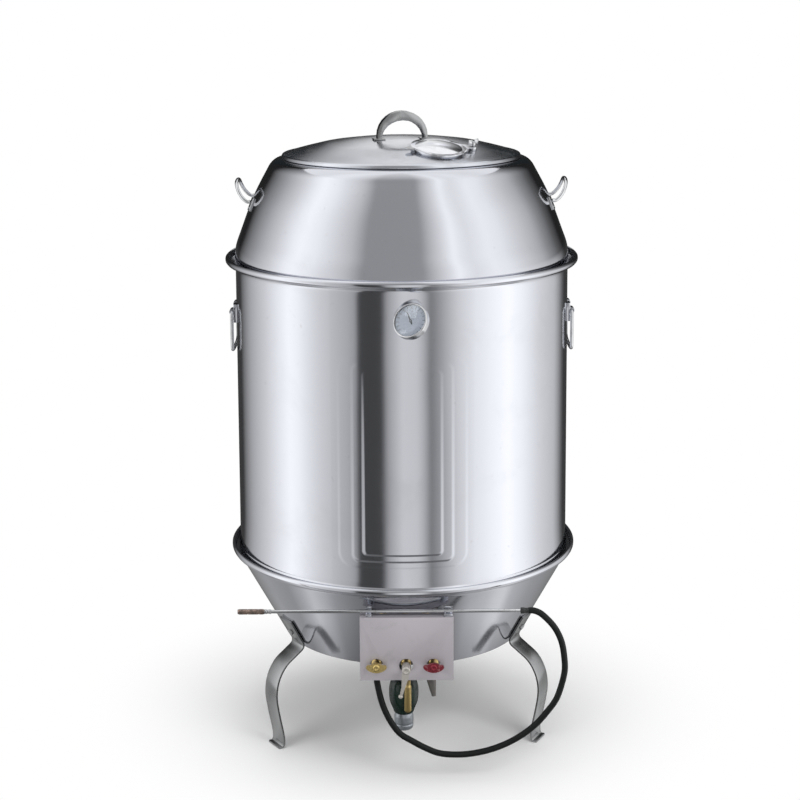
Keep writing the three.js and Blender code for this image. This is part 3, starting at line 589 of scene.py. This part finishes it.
gold_paint = painted("gold_enamel", "gold_paint", (0.64, 0.49, 0.20), (0.44, 0.34, 0.15), 0.85)
red_paint = painted("red_enamel", "red_paint", (0.22, 0.026, 0.040), (0.36, 0.17, 0.17), 0.6)
green_paint = painted("green_enamel", "green_paint", (0.007, 0.020, 0.014), (0.005, 0.012, 0.009), 0.1)


def plate(bm, outline, low, high, place=Matrix.Identity(4)):
    """A flat plate of that outline, from one height to another."""
    faces = [bm.faces.new([bm.verts.new(place @ Vector((x, y, z))) for x, y in outline]) for z in (low, high)]
    join_rings(bm, [list(face.verts) for face in faces])


WING = [(-23, 1), (-21.5, -3), (-16, -7.5), (-8, -11), (0, -12), (8, -11), (16, -7.5), (21.5, -3), (23, 1),
        (20.5, 4.5), (14, 5.5), (8, 8.5), (0, 9.8), (-8, 8.5), (-14, 5.5), (-20.5, 4.5)]
wing_line = [tuple(p.xy) for p in smooth_path([(x, y, 0) for x, y in WING + WING[:1]], 3)[:-1]]
for side, finish in (("left", gold_paint), ("right", red_paint)):
    bm = bmesh.new()
    plate(bm, wing_line, 407, 413, handle_place(side))
    ease_edges(bm, 1.6, 50, 3)
    turned(bm, rounded([(0, 402), (8, 402), (8, 414.5), (6, 417), (3.4, 417), (2.6, 416), (0, 416)], 0.8, 3),
           32, handle_place(side))
    finished(f"cock_{side}_wing_handle", bm, finish, f"{side}_cock_handle", f"cock_{side}_handle")

bm = bmesh.new()
plate(bm, [(-8, 2), (-10, -16), (-10.5, -40), (-13, -51), (-15, -62), (-9.5, -63), (-6, -51), (-2.5, -40),
           (5.5, -16), (7, 2)], 424, 431, handle_place("centre"))
ease_edges(bm, 1.2, 20, 3)
turned(bm, rounded([(0, 402), (9.5, 402), (9.5, 430), (7.5, 433), (4.6, 433), (3.8, 431.5), (0, 431.5)],
                   1.2, 3), 40, handle_place("centre"))
BALL_R = 5
ball = [(BALL_R * sin(pi * i / 16), BALL_R * cos(pi * i / 16)) for i in range(1, 16)]
turned(bm, [(0, BALL_R), *ball, (0, -BALL_R)], 28,
       Matrix.Translation((COCKS["centre"] - 12.3, -427.5, GAS_HEIGHT - 61)))
finished("cock_centre_hanging_lever", bm, pale_casting, "centre_lever", "cock_centre_lever")


# Mixing tube: a green painted casting, with a belled mouth around the jet. It runs back under the
# floor and turns up to the burner. The round grey union under it takes the supply hose.
MIXER_Y = -341
on_mixer = Matrix.Translation((0, MIXER_Y, 0))


def read_back(made, *spare):
    """An object's shape with its modifiers worked out, as drawn again. The objects are removed."""
    mesh = bpy.data.meshes.new_from_object(made.evaluated_get(bpy.context.evaluated_depsgraph_get()))
    made.modifiers.clear()
    for used in (made, *spare):
        bpy.data.objects.remove(used)
    return drawn_from(mesh)


def cut_away(bm, tool):
    """The drawn solid with another one taken out of it."""
    whole, taken = as_object("whole", bm), as_object("taken", tool)
    hole = whole.modifiers.new("hole", "BOOLEAN")
    hole.object = taken
    hole.operation = "DIFFERENCE"
    hole.solver = "EXACT"
    return read_back(whole, taken)


bm = bmesh.new()
turned(bm, rounded([(0, 147), (22, 147), (24, 155), (31, 172), (33, 185), (33, 206), (30, 220), (24, 228),
                    (0, 228)], 5, 4), 64, on_mixer)
jet_room = bmesh.new()
turned(jet_room, [(0, 140), (8.3, 140), (8.3, 240), (0, 240)], 32, under(JET_X))
bm = cut_away(bm, jet_room)
pipe = [Vector((0, y, 200)) for y in (MIXER_Y, -250, -150, -70, -42)]
pipe += [Vector((0, -42 * (1 - s) ** 2, 200 + 42.7 * s ** 2)) for s in (0.15, 0.3, 0.45, 0.6, 0.75, 0.9, 1.0)]
tube(bm, pipe, 16.6, 32)
finished("mixer_casting", bm, green_paint, "base", "mixing_tube")

lathed("supply_union", "inlet_union", grey_casting, "base", 48, [
    (10, 107), (16, 107), (19.8, 109.5), (21.5, 115), (21.5, 119), (20.6, 120), (20.6, 123), (21.5, 124),
    (21.5, 138), (20, 146.7), (8, 146.7), (8, 132), (10, 131)], 0.8, 4, on_mixer)


# Burner: a cast-iron ring on the floor with three arms to its hub.
cast_iron = aged("cast_iron", "cast_iron", {"Metallic": 0.55}, (0.045, 0.044, 0.043), (0.10, 0.062, 0.045),
                 0.62, 0.85, (0.03, 0.5, 0.25), pitted(0.003), 0.0003)
dressed("ring_burner", "burner_ring", cast_iron, "base", 1.0)


# Drip tray on its wire hoop, and the fat deflector standing in it on three short feet.
HOOP_WIRE = 5


def hoop(bm, radius, height, sides):
    """Round bar bent to a level hoop."""
    turned(bm, [(radius + HOOP_WIRE * cos(a), height + HOOP_WIRE * sin(a)) for a in full_turn(sides)],
           160)


bm = bmesh.new()
hoop(bm, 320.8, 320, 12)
finished("tray_wire_hoop", bm, dull_steel, "base", "tray_hoop")

lathed("drip_pan", "drip_tray", dull_steel, "tray", 160, [
    (170, 290.5), (291.5, 290.5), (291.5, 325.3), (324, 325.3), (324, 326.8), (290, 326.8), (290, 292),
    (171.5, 292), (171.5, 312), (170, 312)], 0.7, 2)

bm = bmesh.new()
turned(bm, rounded([(0, 385), (207, 330), (205, 327.6), (0, 382.8)], 0.8, 2), 128)
for azimuth in (60, 180, 300):
    foot = outward(azimuth) * 186
    turned(bm, [(0, 292.3), (3.4, 292.3), (4, 293), (4, 333.6), (0, 333.6)], 20, Matrix.Translation(foot))
finished("fat_cone", bm, dull_steel, "deflector", "fat_deflector")


# Drum: polished sheet with a rolled bead at its foot and head. A long panel with round corners is
# pressed out of its front. Inside it a plain liner leaves an air jacket.
DRUM_FOOT, DRUM_HEAD = (387, 470), (382, 1100)
# The panel's three steps: half of its width in degrees, bottom, top, corner radius, and height of the
# step. Each rises over a short slope, and they fade toward the top.
STEPS = [(21.6, 498, 971, 35, 0.5), (16.9, 512, 957, 18, 0.9), (13.2, 527, 942, 13, 1.0)]
STEP_SLOPE, STEP_RADIUS = 6, 385
FADE_FROM, FADE_OVER, FADE_SHARE = 530, 409, 0.85


def drum_radius(z):
    return DRUM_FOOT[0] + (z - DRUM_FOOT[1]) * (DRUM_HEAD[0] - DRUM_FOOT[0]) / (DRUM_HEAD[1] - DRUM_FOOT[1])


def pressed_out(azimuth, z):
    """How far the front panel stands out at a place on the drum."""
    lift = 0
    for half_width, bottom, top, corner, height in STEPS:
        dx = abs(azimuth) * STEP_RADIUS - radians(half_width) * STEP_RADIUS + corner
        dz = abs(z - (top + bottom) / 2) - (top - bottom) / 2 + corner
        inside = corner - hypot(max(dx, 0), max(dz, 0)) - min(max(dx, dz), 0)
        lift += height * min(max(inside / STEP_SLOPE, 0), 1)
    fading = min(max((z - FADE_FROM) / FADE_OVER, 0), 1)
    return lift * (1 - FADE_SHARE * fading)


# The wall's rings are close together where the steps begin and end, and so are its columns in front
fine_turns = [radians(a * 0.25) for a in range(-96, 97)]
plain_turns = [radians(24 + 3 * a) for a in range(1, 104)]
heights = [456, 470, 486] + [492 + 1.5 * i for i in range(46)] + [580 + 30 * i for i in range(11)]
heights += [905 + 1.5 * i for i in range(48)] + [990, 1010, 1040, 1080]
bm = bmesh.new()
# The beads at foot and head, without the rounded corners where they meet the wall
foot_bead = rounded([(384, 441.3), (389.8, 442.7), (389.8, 450.3), (drum_radius(456), 456)], 2.2)[:-3]
head_bead = rounded([
    (380, 1121), (381.9, 1112), (386, 1118.8), (401, 1120.2), (405, 1125), (405, 1132), (400.5, 1136.4),
    (396.6, 1132), (396, 1121), (380, 1121)], 2.2)[8:-6]
profile = foot_bead + [(drum_radius(z), z) for z in heights] + [(382, 1100), (381.9, 1108)] + head_bead
profile += [(380, 1121), (380, 1100), (385, 470)]
turned(bm, profile, 0, turns=fine_turns + plain_turns)
for v in bm.verts:
    r = hypot(v.co.x, v.co.y)
    if r > drum_radius(v.co.z) - 0.5 and 490 < v.co.z < 980:
        lift = pressed_out(atan2(v.co.x, -v.co.y), v.co.z)
        v.co.xy *= (r + lift) / r
back_seam(bm, [(drum_radius(z), z) for z in (457, 600, 800, 1000, 1098)])
finished("drum_wall", bm, sheet_steel, "drum", "drum_shell")

lathed("drum_lining", "drum_liner", dull_steel, "drum", 160, [
    (368, 462), (383.6, 462), (383.6, 463.5), (369.5, 463.5), (369.5, 1098), (378.6, 1098),
    (378.6, 1099.5), (368, 1099.5)], 0.6, 2)
for i in (1, 2, 3):
    dressed(f"rack_shelf_{i}", f"rack_bracket_{i}", dull_steel, "drum", 0.8)


# Dial thermometer: a bright case on a long stem, leaning up and to the left. Its white dial has a
# plain ring of marks, and the pointer turns under a flat glass.
DIAL_FACE, DIAL_LEFT, DIAL_UP, DIAL_R = (16, -422.8, 1059), 28, 30, 39
dial_axis = spot_at(-DIAL_LEFT, cos(radians(DIAL_UP)), sin(radians(DIAL_UP)))
dial_place = frame_along(dial_axis, DIAL_FACE)
dressed("thermometer_neck", "thermometer_stem", dull_steel, "drum", 0.3)
lathed("thermometer_bezel", "thermometer_case", rod_steel, "drum", 96, [
    (0, -30), (23, -30), (DIAL_R - 4, -20), (DIAL_R, -15), (DIAL_R, -1.5), (DIAL_R - 1.5, 0), (35.3, 0),
    (35.3, -7.5), (0, -7.5)], 1.2, 4, dial_place)

dial_white = aged("dial_enamel", "dial_white", COATED, (0.38, 0.40, 0.47), (0.28, 0.30, 0.36), 0.3, 0.5,
                  (0.012, 0.5, 0.3), clouded(0.012, 0.5, 0.3), 0.00002)
lathed("thermometer_face", "thermometer_dial", dial_white, "drum", 64,
       [(0, -7.2), (34.9, -7.2), (34.9, -6.2), (1.2, -6.2), (1.2, -3.8), (0, -3.8)], 0.2, 2, dial_place)

glass, tree, surface = new_finish("dial_glass", "glass", IOR=1.5, Transmission_Weight=1.0)
surface.inputs["Base Color"].default_value = (0.93, 0.96, 0.97, 1)
smear = effect(tree, clouded(0.02, 0.5, 0.3))
feed(tree, surface.inputs["Roughness"], between(tree, smear, 0.05, 0.22))
lathed("thermometer_window", "thermometer_glass", glass, "drum", 64,
       [(0, -2.4), (35, -2.4), (35, -0.9), (0, -0.9)], 0.2, 2, dial_place)
dressed("thermometer_hand", "thermometer_pointer", black_plastic, "pointer", 0.1)

# Sets one small shape at every point, turned to face and lean as that point says
repeater = bpy.data.node_groups.new("repeated_parts", "GeometryNodeTree")
for key, kind in (("Points", "NodeSocketGeometry"), ("Shape", "NodeSocketObject"),
                  ("Finish", "NodeSocketMaterial")):
    repeater.interface.new_socket(key, in_out="INPUT", socket_type=kind)
repeater.interface.new_socket("Geometry", in_out="OUTPUT", socket_type="NodeSocketGeometry")
given = repeater.nodes.new("NodeGroupInput").outputs
facing = node(repeater, "GeometryNodeInputNamedAttribute", {"data_type": "FLOAT_VECTOR"}, Name="facing")
leaning = node(repeater, "GeometryNodeInputNamedAttribute", {"data_type": "FLOAT_VECTOR"}, Name="leaning")
turn = node(repeater, "FunctionNodeAxesToRotation", {"primary_axis": "Z", "secondary_axis": "X"},
            Primary_Axis=facing.outputs[0], Secondary_Axis=leaning.outputs[0])
shape = node(repeater, "GeometryNodeObjectInfo", Object=given["Shape"])
placed = node(repeater, "GeometryNodeInstanceOnPoints", Points=given["Points"],
              Instance=shape.outputs["Geometry"], Rotation=turn.outputs[0])
real = node(repeater, "GeometryNodeRealizeInstances", Geometry=placed.outputs[0])
coated = node(repeater, "GeometryNodeSetMaterial", Geometry=real.outputs[0], Material=given["Finish"])
repeater.links.new(coated.outputs[0], repeater.nodes.new("NodeGroupOutput").inputs[0])


def repeated(name, bm, spots, finish, body, sharp=32):
    """The drawn shape at every spot. Each spot is its place, the way it faces and the way it leans."""
    shape = as_object(name + "_shape", bm)
    bm = bmesh.new()
    for place, _, _ in spots:
        bm.verts.new(place)
    points = as_object(name + "_points", bm)
    for key, which in (("facing", 1), ("leaning", 2)):
        ways = points.data.attributes.new(key, "FLOAT_VECTOR", "POINT").data
        for way, spot in zip(ways, spots):
            way.vector = spot[which]
    repeat = points.modifiers.new("repeat", "NODES")
    repeat.node_group = repeater
    given = {"Shape": shape, "Finish": finish}
    for socket in repeater.interface.items_tree:
        if socket.in_out == "INPUT" and socket.name in given:
            repeat[socket.identifier] = given[socket.name]
    return finished(name, read_back(points, shape), finish, body, sharp=sharp)


tick = bmesh.new()
plate(tick, [(-3.2, -0.45), (3.2, -0.45), (3.2, 0.45), (-3.2, 0.45)], -0.1, 0.15)
around = [radians(a) for a in range(-45, 226, 18)]
facing = dial_place.col[2].xyz
spots = []
for a in around:
    way = dial_place.col[0].xyz * sin(a) + dial_place.col[1].xyz * cos(a)
    spots.append((Vector(DIAL_FACE) - facing * 6.2 + way * 29.5, facing, way))
repeated("thermometer_marks", tick, spots, black_plastic, "drum", sharp=20)


# Side handles: round-bar bails that hang in folded lugs, two to each side of the drum.
for side in ("right", "left"):
    for end in ("front", "rear"):
        dressed(f"lug_{side}_{end}", f"bail_lug_{side}_{end}", sheet_steel, "drum", 0.7)
corners = [(389, 44, 1010), (389, 57, 1010), (389, 65, 1010), (389, 70, 1007), (389, 71, 1000),
           (389, 71, 935), (389, 68, 926), (389, 60, 922)]
corners += [(x, -y, z) for x, y, z in corners[::-1]]
bail_line = smooth_path(corners, 6)
for side, turn in (("right", 0), ("left", 180)):
    bm = bmesh.new()
    tube(bm, [Matrix.Rotation(radians(turn), 3, "Z") @ p for p in bail_line], 4, 20)
    finished(f"side_handle_{side}", bm, rod_steel, f"{side}_bail", f"bail_{side}")


RIVET_R, RIVET_RISE = 2.6, 1.1


def rivet():
    """A low domed rivet head, standing on its origin."""
    bm = bmesh.new()
    turned(bm, [(0, -0.3), (RIVET_R, -0.3), (RIVET_R, 0.3), (RIVET_R * 0.85, RIVET_RISE * 0.6),
                (RIVET_R * 0.5, RIVET_RISE * 0.92), (0, RIVET_RISE)], 20)
    return bm


spots = [(Vector((way * 385.5, y, 993)), Vector((way, 0, 0)), UP)
         for way in (-1, 1) for y in (-58, -42, 42, 58)]
repeated("lug_rivets", rivet(), spots, rod_steel, "drum")


# Hanging rack: a round-bar hoop with two crossed bars and six hooks.
RACK_R, RACK_Z = 335, 1075
bm = bmesh.new()
hoop(bm, RACK_R, RACK_Z, 16)
for azimuth in (45, 135):
    tube(bm, [spot_at(azimuth + half, RACK_R, RACK_Z) for half in (0, 180)], 4, 20)
for azimuth in (30, 90, 150, 210, 270, 330):
    hook = [(RACK_R, RACK_Z), (335, 1033), (329, 1019), (317, 1014), (305, 1021), (302, 1035)]
    tube(bm, smooth_path([tuple(spot_at(azimuth, r, z)) for r, z in hook], 6), 2.6, 14)
finished("hanging_rack", bm, dull_steel, "rack", "duck_rack")


# Hood: a spun cone with a rounded shoulder and an upturned neck, and two loop handles bent from
# round bar on riveted feet.
hood_outside = smooth_path([(r, 0, z) for r, z in (
    (384, 1121.3), (383, 1137), (379.5, 1160), (368, 1192), (337, 1271), (307, 1328), (298, 1343),
    (288, 1352), (276, 1355.6))], 6)
bm = bmesh.new()
turned(bm, [(point.x, point.z) for point in hood_outside] + rounded([
    (257, 1356), (257, 1362), (255, 1362), (255, 1353.8), (275.6, 1353.4), (295.8, 1342), (334.9, 1270.4),
    (366, 1191.4), (378.4, 1156), (382, 1121.3)], 1.0, 3), WALL_SIDES)
back_seam(bm, [(point.x, point.z) for point in hood_outside if 1190 < point.z < 1330])
finished("hood_wall", bm, sheet_steel, "hood", "hood_shell")

half = [(341, 60, 1262.5), (346, 59, 1262), (353, 58, 1265), (363, 55, 1276), (370, 49, 1290),
        (373, 38, 1301)]
handle_line = smooth_path(half + [(x, -y, z) for x, y, z in half[::-1]], 6)
HOOD_SLOPE = atan2(368 - 337, 1271 - 1192)
GRIP_FOOT_R, GRIP_FOOT_Z = 343, 1256
spots = []
for side, turn in (("right", 0), ("left", 180)):
    bm = bmesh.new()
    for y in (60, -60):
        azimuth = 90 + degrees(asin(y / GRIP_FOOT_R))
        square = spot_at(azimuth, cos(HOOD_SLOPE), sin(HOOD_SLOPE))
        foot = frame_along(square, spot_at(azimuth, GRIP_FOOT_R, GRIP_FOOT_Z))
        plate(bm, [(-15, -12), (15, -12), (15, 12), (-15, 12)], 0.4, 4, foot)
        spun = Matrix.Rotation(radians(turn), 4, "Z")
        for aside in (-7, 7):
            spots.append((spun @ foot @ Vector((-9, aside, 4)), spun.to_3x3() @ square, UP))
    ease_edges(bm, 1.2, 50, 3)
    tube(bm, handle_line, 4, 24)
    bmesh.ops.rotate(bm, matrix=Matrix.Rotation(radians(turn), 3, "Z"), verts=bm.verts)
    finished(f"hood_grip_{side}", bm, rod_steel, "hood", f"hood_handle_{side}")
repeated("hood_grip_rivets", rivet(), spots, rod_steel, "hood")

weld = bmesh.new()
turned(weld, [(0, -0.2), (2.4, -0.2), (2.2, 0.12), (1.2, 0.05), (0, 0.02)], 16)
for name, line, count, body in [
    ("base_spot_welds", ((base_radius(250), 250), (base_radius(420), 420)), 8, "base"),
    ("drum_spot_welds", ((drum_radius(470), 470), (drum_radius(1090), 1090)), 26, "drum"),
    ("hood_spot_welds", ((362.1, 1207), (339, 1266)), 4, "hood"),
]:
    low, high = (Vector((0, r + 0.5, z)) for r, z in line)
    square = Vector((0, high.z - low.z, low.y - high.y))
    spots = [(low.lerp(high, (i + 0.5) / count), square, Vector((1, 0, 0))) for i in range(count)]
    repeated(name, weld.copy(), spots, sheet_steel, body)
weld.free()


# Lid: a shallow spun dome with a turned-down lip, an arched strap handle, and a smoke vent.
LID_DOME = [(262, 1367), (228, 1376.5), (176, 1389), (115, 1396.5), (60, 1400.6), (0, 1402)]
LID_SHEET = 2
VENT_MIDDLE, VENT_TURN, VENT_TILT, TO_PIVOT = (82, -160, 1388), 27.1, 12.5, (76, 32, 0)
vent_axis = spot_at(VENT_TURN, sin(radians(VENT_TILT)), cos(radians(VENT_TILT)))
vent_place = frame_along(vent_axis, VENT_MIDDLE, TO_PIVOT)

lid_steel = aged("spun_lid_sheet", "polished_steel", METAL, (0.58, 0.595, 0.64), (0.50, 0.51, 0.54),
                 0.17, 0.27, (0.09, 0.5, 0.3), clouded(0.12, 0.7, 0.5, 0.5), 0.00025)
bright_steel = aged("bright_steel", "polished_steel", METAL, (0.74, 0.75, 0.78), (0.62, 0.63, 0.64),
                    0.12, 0.24, (0.03, 0.5, 0.3), streaked((1, 0.05, 1), 700.0), 0.00002)

lid_inside = [(r, z - LID_SHEET) for r, z in LID_DOME[::-1]]
bm = bmesh.new()
turned(bm, rounded([*LID_DOME[::-1], (271, 1365.4), (272.3, 1357.4), (269.8, 1356.4), (269.2, 1363.4),
                    *lid_inside[::-1]], 14, 5), WALL_SIDES)
opening = bmesh.new()
turned(opening, [(0, -30), (53.8, -30), (53.8, 30), (0, 30)], 96, vent_place)
finished("lid_pan", cut_away(bm, opening), lid_steel, "lid", "lid_dome")
dressed("lid_arch_handle", "lid_handle", strap_steel, "lid", 1.0)

lathed("vent_neck", "vent_collar", bright_steel, "lid", 96,
       [(50, -9), (53.5, -9), (53.5, 3.5), (50, 3.5)], 0.5, 3, vent_place)
# The disc's crown, pressed a little higher than the solid's
CROWN_R, CROWN_FOOT, CROWN_RISE = 53, 5.2, 6.8
bm = eased("vent_damper")
crown = [(CROWN_R * i / 12, CROWN_FOOT + CROWN_RISE * (1 - (i / 12) ** 2)) for i in range(13)]
turned(bm, [*crown, (CROWN_R, CROWN_FOOT - 0.6), (0, CROWN_FOOT - 0.6)], 96, vent_place)
finished("vent_flap", bm, bright_steel, "damper", "vent_damper")
dressed("vent_stud", "vent_pivot_stud", rod_steel, "lid", 0.3)
dressed("vent_nut", "vent_wing_nut", rod_steel, "wing_nut", 0.3)


# Studio: a white sweep of floor under a pale sky, and three soft lamps. Polished metal also sees a
# light tent of bright and dark panels around the oven, which the camera doesn't.
def behind_everything(tree):
    """1 for the rays that show the white background: from the camera, off metal and through glass."""
    rays = node(tree, "ShaderNodeLightPath").outputs
    return number(tree, "MAXIMUM", rays["Is Camera Ray"],
                  number(tree, "MAXIMUM", rays["Is Glossy Ray"], rays["Is Transmission Ray"]))


world = bpy.data.worlds.new("studio_sky")
scene.world = world
world.use_nodes = True
tree = world.node_tree
sky = tree.nodes["Background"]
sky.inputs["Color"].default_value = (1, 1, 1, 1)
feed(tree, sky.inputs["Strength"], between(tree, behind_everything(tree), 0.55, 1.0))


def staged(name, bm, material):
    made = as_object(name, bm)
    made.data.materials.append(material)
    return made


def from_middle(tree):
    """Each point's distance from the middle of the floor, in metres."""
    length = node(tree, "ShaderNodeVectorMath", {"operation": "LENGTH"}, Vector=own_place(tree))
    return length.outputs["Value"]


floor_white = bpy.data.materials.new("floor_white")
floor_white.use_nodes = True
tree = floor_white.node_tree
matt = tree.nodes["Principled BSDF"]
matt.inputs["Base Color"].default_value = (0.93, 0.93, 0.93, 1)
matt.inputs["Roughness"].default_value = 0.9
matt.inputs["Specular IOR Level"].default_value = 0.0
fade = node(tree, "ShaderNodeMapRange", {"interpolation_type": "SMOOTHSTEP"}, Value=from_middle(tree),
            From_Min=0.3, From_Max=0.85)
plain = node(tree, "ShaderNodeEmission", Strength=1.0)
mixed = node(tree, "ShaderNodeMixShader",
             Fac=number(tree, "MULTIPLY", behind_everything(tree), fade.outputs[0]))
tree.links.new(matt.outputs[0], mixed.inputs[1])
tree.links.new(plain.outputs[0], mixed.inputs[2])
tree.links.new(mixed.outputs[0], tree.nodes["Material Output"].inputs["Surface"])
bm = bmesh.new()
bmesh.ops.create_circle(bm, cap_ends=True, segments=96, radius=60000)
staged("floor", bm, floor_white)

for name, spot, aim, size, power in [
    ("key_lamp", (1.9, -2.6, 2.6), (0, 0, 0.7), 1.8, 55),
    ("fill_lamp", (-2.4, -2.0, 2.0), (0, 0, 0.7), 1.8, 34),
    ("top_lamp", (0, 0.4, 3.4), (0, 0, 0.5), 2.2, 40),
]:
    lamp_data = bpy.data.lights.new(name, "AREA")
    lamp_data.size = size
    lamp_data.energy = power
    lamp = bpy.data.objects.new(name, lamp_data)
    lamp.matrix_world = frame_along(Vector(spot) - Vector(aim), spot)
    lamp.visible_glossy = False
    scene.collection.objects.link(lamp)

# The tent's panels: azimuth from the front in degrees, positive to the right, and their glow there.
# The drum sees the low ones, the hood and lid the high ones, and the base sees the floor's painted light and
# shade.
LOW_PANELS = [
    (-180, 0.05), (-137, 0.05), (-133, 0.17), (-118, 0.55), (-98, 0.95), (-82, 1.38), (-75, 1.55),
    (-68, 1.45), (-55, 1.05), (-44, 0.8), (-33, 0.62), (-28.5, 0.5), (-26.5, 0.08), (-12, 0.08),
    (-9, 0.5), (0, 0.92), (9, 0.88), (13, 0.65), (17, 0.28), (19, 0.35), (23, 0.5), (34, 0.95),
    (45, 1.25), (56, 1.45), (70, 1.65), (82, 1.45), (98, 1.05), (119, 0.74), (134, 0.15), (140, 0.05),
    (180, 0.05),
]
HIGH_PANELS = [
    (-180, 0.02), (-137, 0.02), (-125, 0.25), (-112, 0.5), (-93, 0.95), (-78, 1.4), (-71, 1.52),
    (-58, 1.35), (-46, 1.06), (-34, 0.78), (-24, 0.42), (13, 0.43), (18, 0.67), (29, 1.13), (35, 1.45),
    (40, 1.28), (46, 1.18), (60, 1.37), (71, 1.28), (85, 0.98), (103, 0.65), (112, 0.4), (125, 0.15),
    (137, 0.02), (180, 0.02),
]
# Painted light and shade of the floor around the oven, as the base sees it in reflection
FLOOR_LIGHT_AND_SHADE = [
    (-180, 0.2), (-145, 0.2), (-110, 0.45), (-85, 0.4), (-73, 0.6), (-64, 0.82), (-53, 0.62),
    (-46, 0.44), (-33, 0.3), (-20, 0.2), (0, 0.15), (20, 0.18), (31, 0.24), (37, 0.42), (45, 0.62),
    (58, 0.75), (65, 0.9), (72, 0.95), (80, 0.65), (100, 0.45), (145, 0.2), (180, 0.2),
]
BACK_PANELS = [
    (-180, 1.0), (-172, 0.85), (-169, 0.75), (-166, 0.62), (-160, 0.5), (-150, 0.5), (161, 0.05),
    (166, 0.45), (172, 0.85), (180, 1.0),
]
BRIGHTEST = 2.0


def glowing(name):
    """A material that only glows. Returns it, its tree, and each point's X, Y and Z and its azimuth."""
    made = bpy.data.materials.new(name)
    made.use_nodes = True
    tree = made.node_tree
    tree.nodes.remove(tree.nodes["Principled BSDF"])
    xyz = node(tree, "ShaderNodeSeparateXYZ", Vector=own_place(tree)).outputs
    around = number(tree, "ARCTAN2", xyz["X"], number(tree, "MULTIPLY", xyz["Y"], -1.0))
    return made, tree, xyz, from_to(tree, around, -pi, pi)


def panels(tree, share, stops):
    """The glow of a round of panels, as a grey."""
    ramp = node(tree, "ShaderNodeValToRGB", Fac=share)
    stop = ramp.color_ramp.elements
    stop.remove(stop[1])
    for i, (azimuth, glow) in enumerate(stops):
        at = (azimuth + 180) / 360
        made = stop[0] if i == 0 else stop.new(at)
        made.position = at
        made.color = (glow / BRIGHTEST, glow / BRIGHTEST, glow / BRIGHTEST, 1)
    return ramp.outputs["Color"]


def only_reflected(thing):
    for kind in ("camera", "diffuse", "shadow", "transmission", "volume_scatter"):
        setattr(thing, f"visible_{kind}", False)


def shine(tree, colour):
    light = node(tree, "ShaderNodeEmission", Color=colour, Strength=BRIGHTEST)
    tree.links.new(light.outputs[0], tree.nodes["Material Output"].inputs["Surface"])


TENT_R, TENT_TOP, CARD_R = 1900, 3000, 1880
tent_glow, tree, xyz, share = glowing("tent_glow")
walls = blended(tree, from_to(tree, xyz["Z"], 0.95, 1.15), panels(tree, share, LOW_PANELS),
                panels(tree, share, HIGH_PANELS))
roof = number(tree, "MULTIPLY", from_to(tree, xyz["Z"], 2.97, 2.99), from_to(tree, xyz["Y"], -1.6, 0.3))
shine(tree, blended(tree, roof, walls, (0.6, 0.6, 0.6)))


def level_ring(bm, radius, turns, z):
    return [bm.verts.new((radius * sin(a), -radius * cos(a), z)) for a in turns]


around = full_turn(96)
bm = bmesh.new()
rings = [level_ring(bm, TENT_R, around, z) for z in (0, TENT_TOP)]
join_rings(bm, [*rings, [bm.verts.new((0, 0, TENT_TOP))]])
only_reflected(staged("light_tent", bm, tent_glow))

# The lid mirrors a card behind the oven, which is dark toward its foot and sides. The vent's disc
# mirrors a small soft box in front of the card.
card_glow, tree, xyz, share = glowing("card_glow")
aside = number(tree, "MULTIPLY", number(tree, "ABSOLUTE", xyz["X"], 0.0), 1.4)
lit = from_to(tree, number(tree, "SUBTRACT", xyz["Z"], aside), 1.2, 1.75)
shine(tree, blended(tree, lit, (0.008, 0.010, 0.011), panels(tree, share, BACK_PANELS)))
bm = bmesh.new()
low, high = (level_ring(bm, CARD_R, [radians(a) for a in range(150, 211, 3)], z) for z in (1600, 2990))
for corners in zip(low, low[1:], high[1:], high):
    bm.faces.new(corners)
only_reflected(staged("back_card", bm, card_glow))

box_glow, tree, xyz, _ = glowing("box_glow")
off_middle = number(tree, "ABSOLUTE", number(tree, "SUBTRACT", xyz["X"], 0.24), 0.0)
shine(tree, blended(tree, from_to(tree, off_middle, 0.03, 0.1), (0.64, 0.64, 0.66), (0.45, 0.45, 0.48)))
bm = bmesh.new()
bm.faces.new([bm.verts.new((x, 1800, z)) for x, z in ((60, 2300), (420, 2300), (420, 2600), (60, 2600))])
only_reflected(staged("vent_soft_box", bm, box_glow))

# A sheet just over the floor that only reflections see. Its glow is painted shade, black beside the oven,
# then the floor's painted light and shade by azimuth, and then the low panels further out.
floor_glow, tree, _, share = glowing("floor_glow")
away = from_middle(tree)
painted_floor_near = blended(tree, from_to(tree, away, 0.15, 0.45), (0.0, 0.0, 0.0), panels(tree, share, FLOOR_LIGHT_AND_SHADE))
shine(tree, blended(tree, from_to(tree, away, 1.15, 1.35), painted_floor_near, panels(tree, share, LOW_PANELS)))
bm = bmesh.new()
join_rings(bm, [level_ring(bm, r, around, 2) for r in (20, TENT_R)])
only_reflected(staged("floor_tent", bm, floor_glow))

scene.view_settings.view_transform = "Standard"
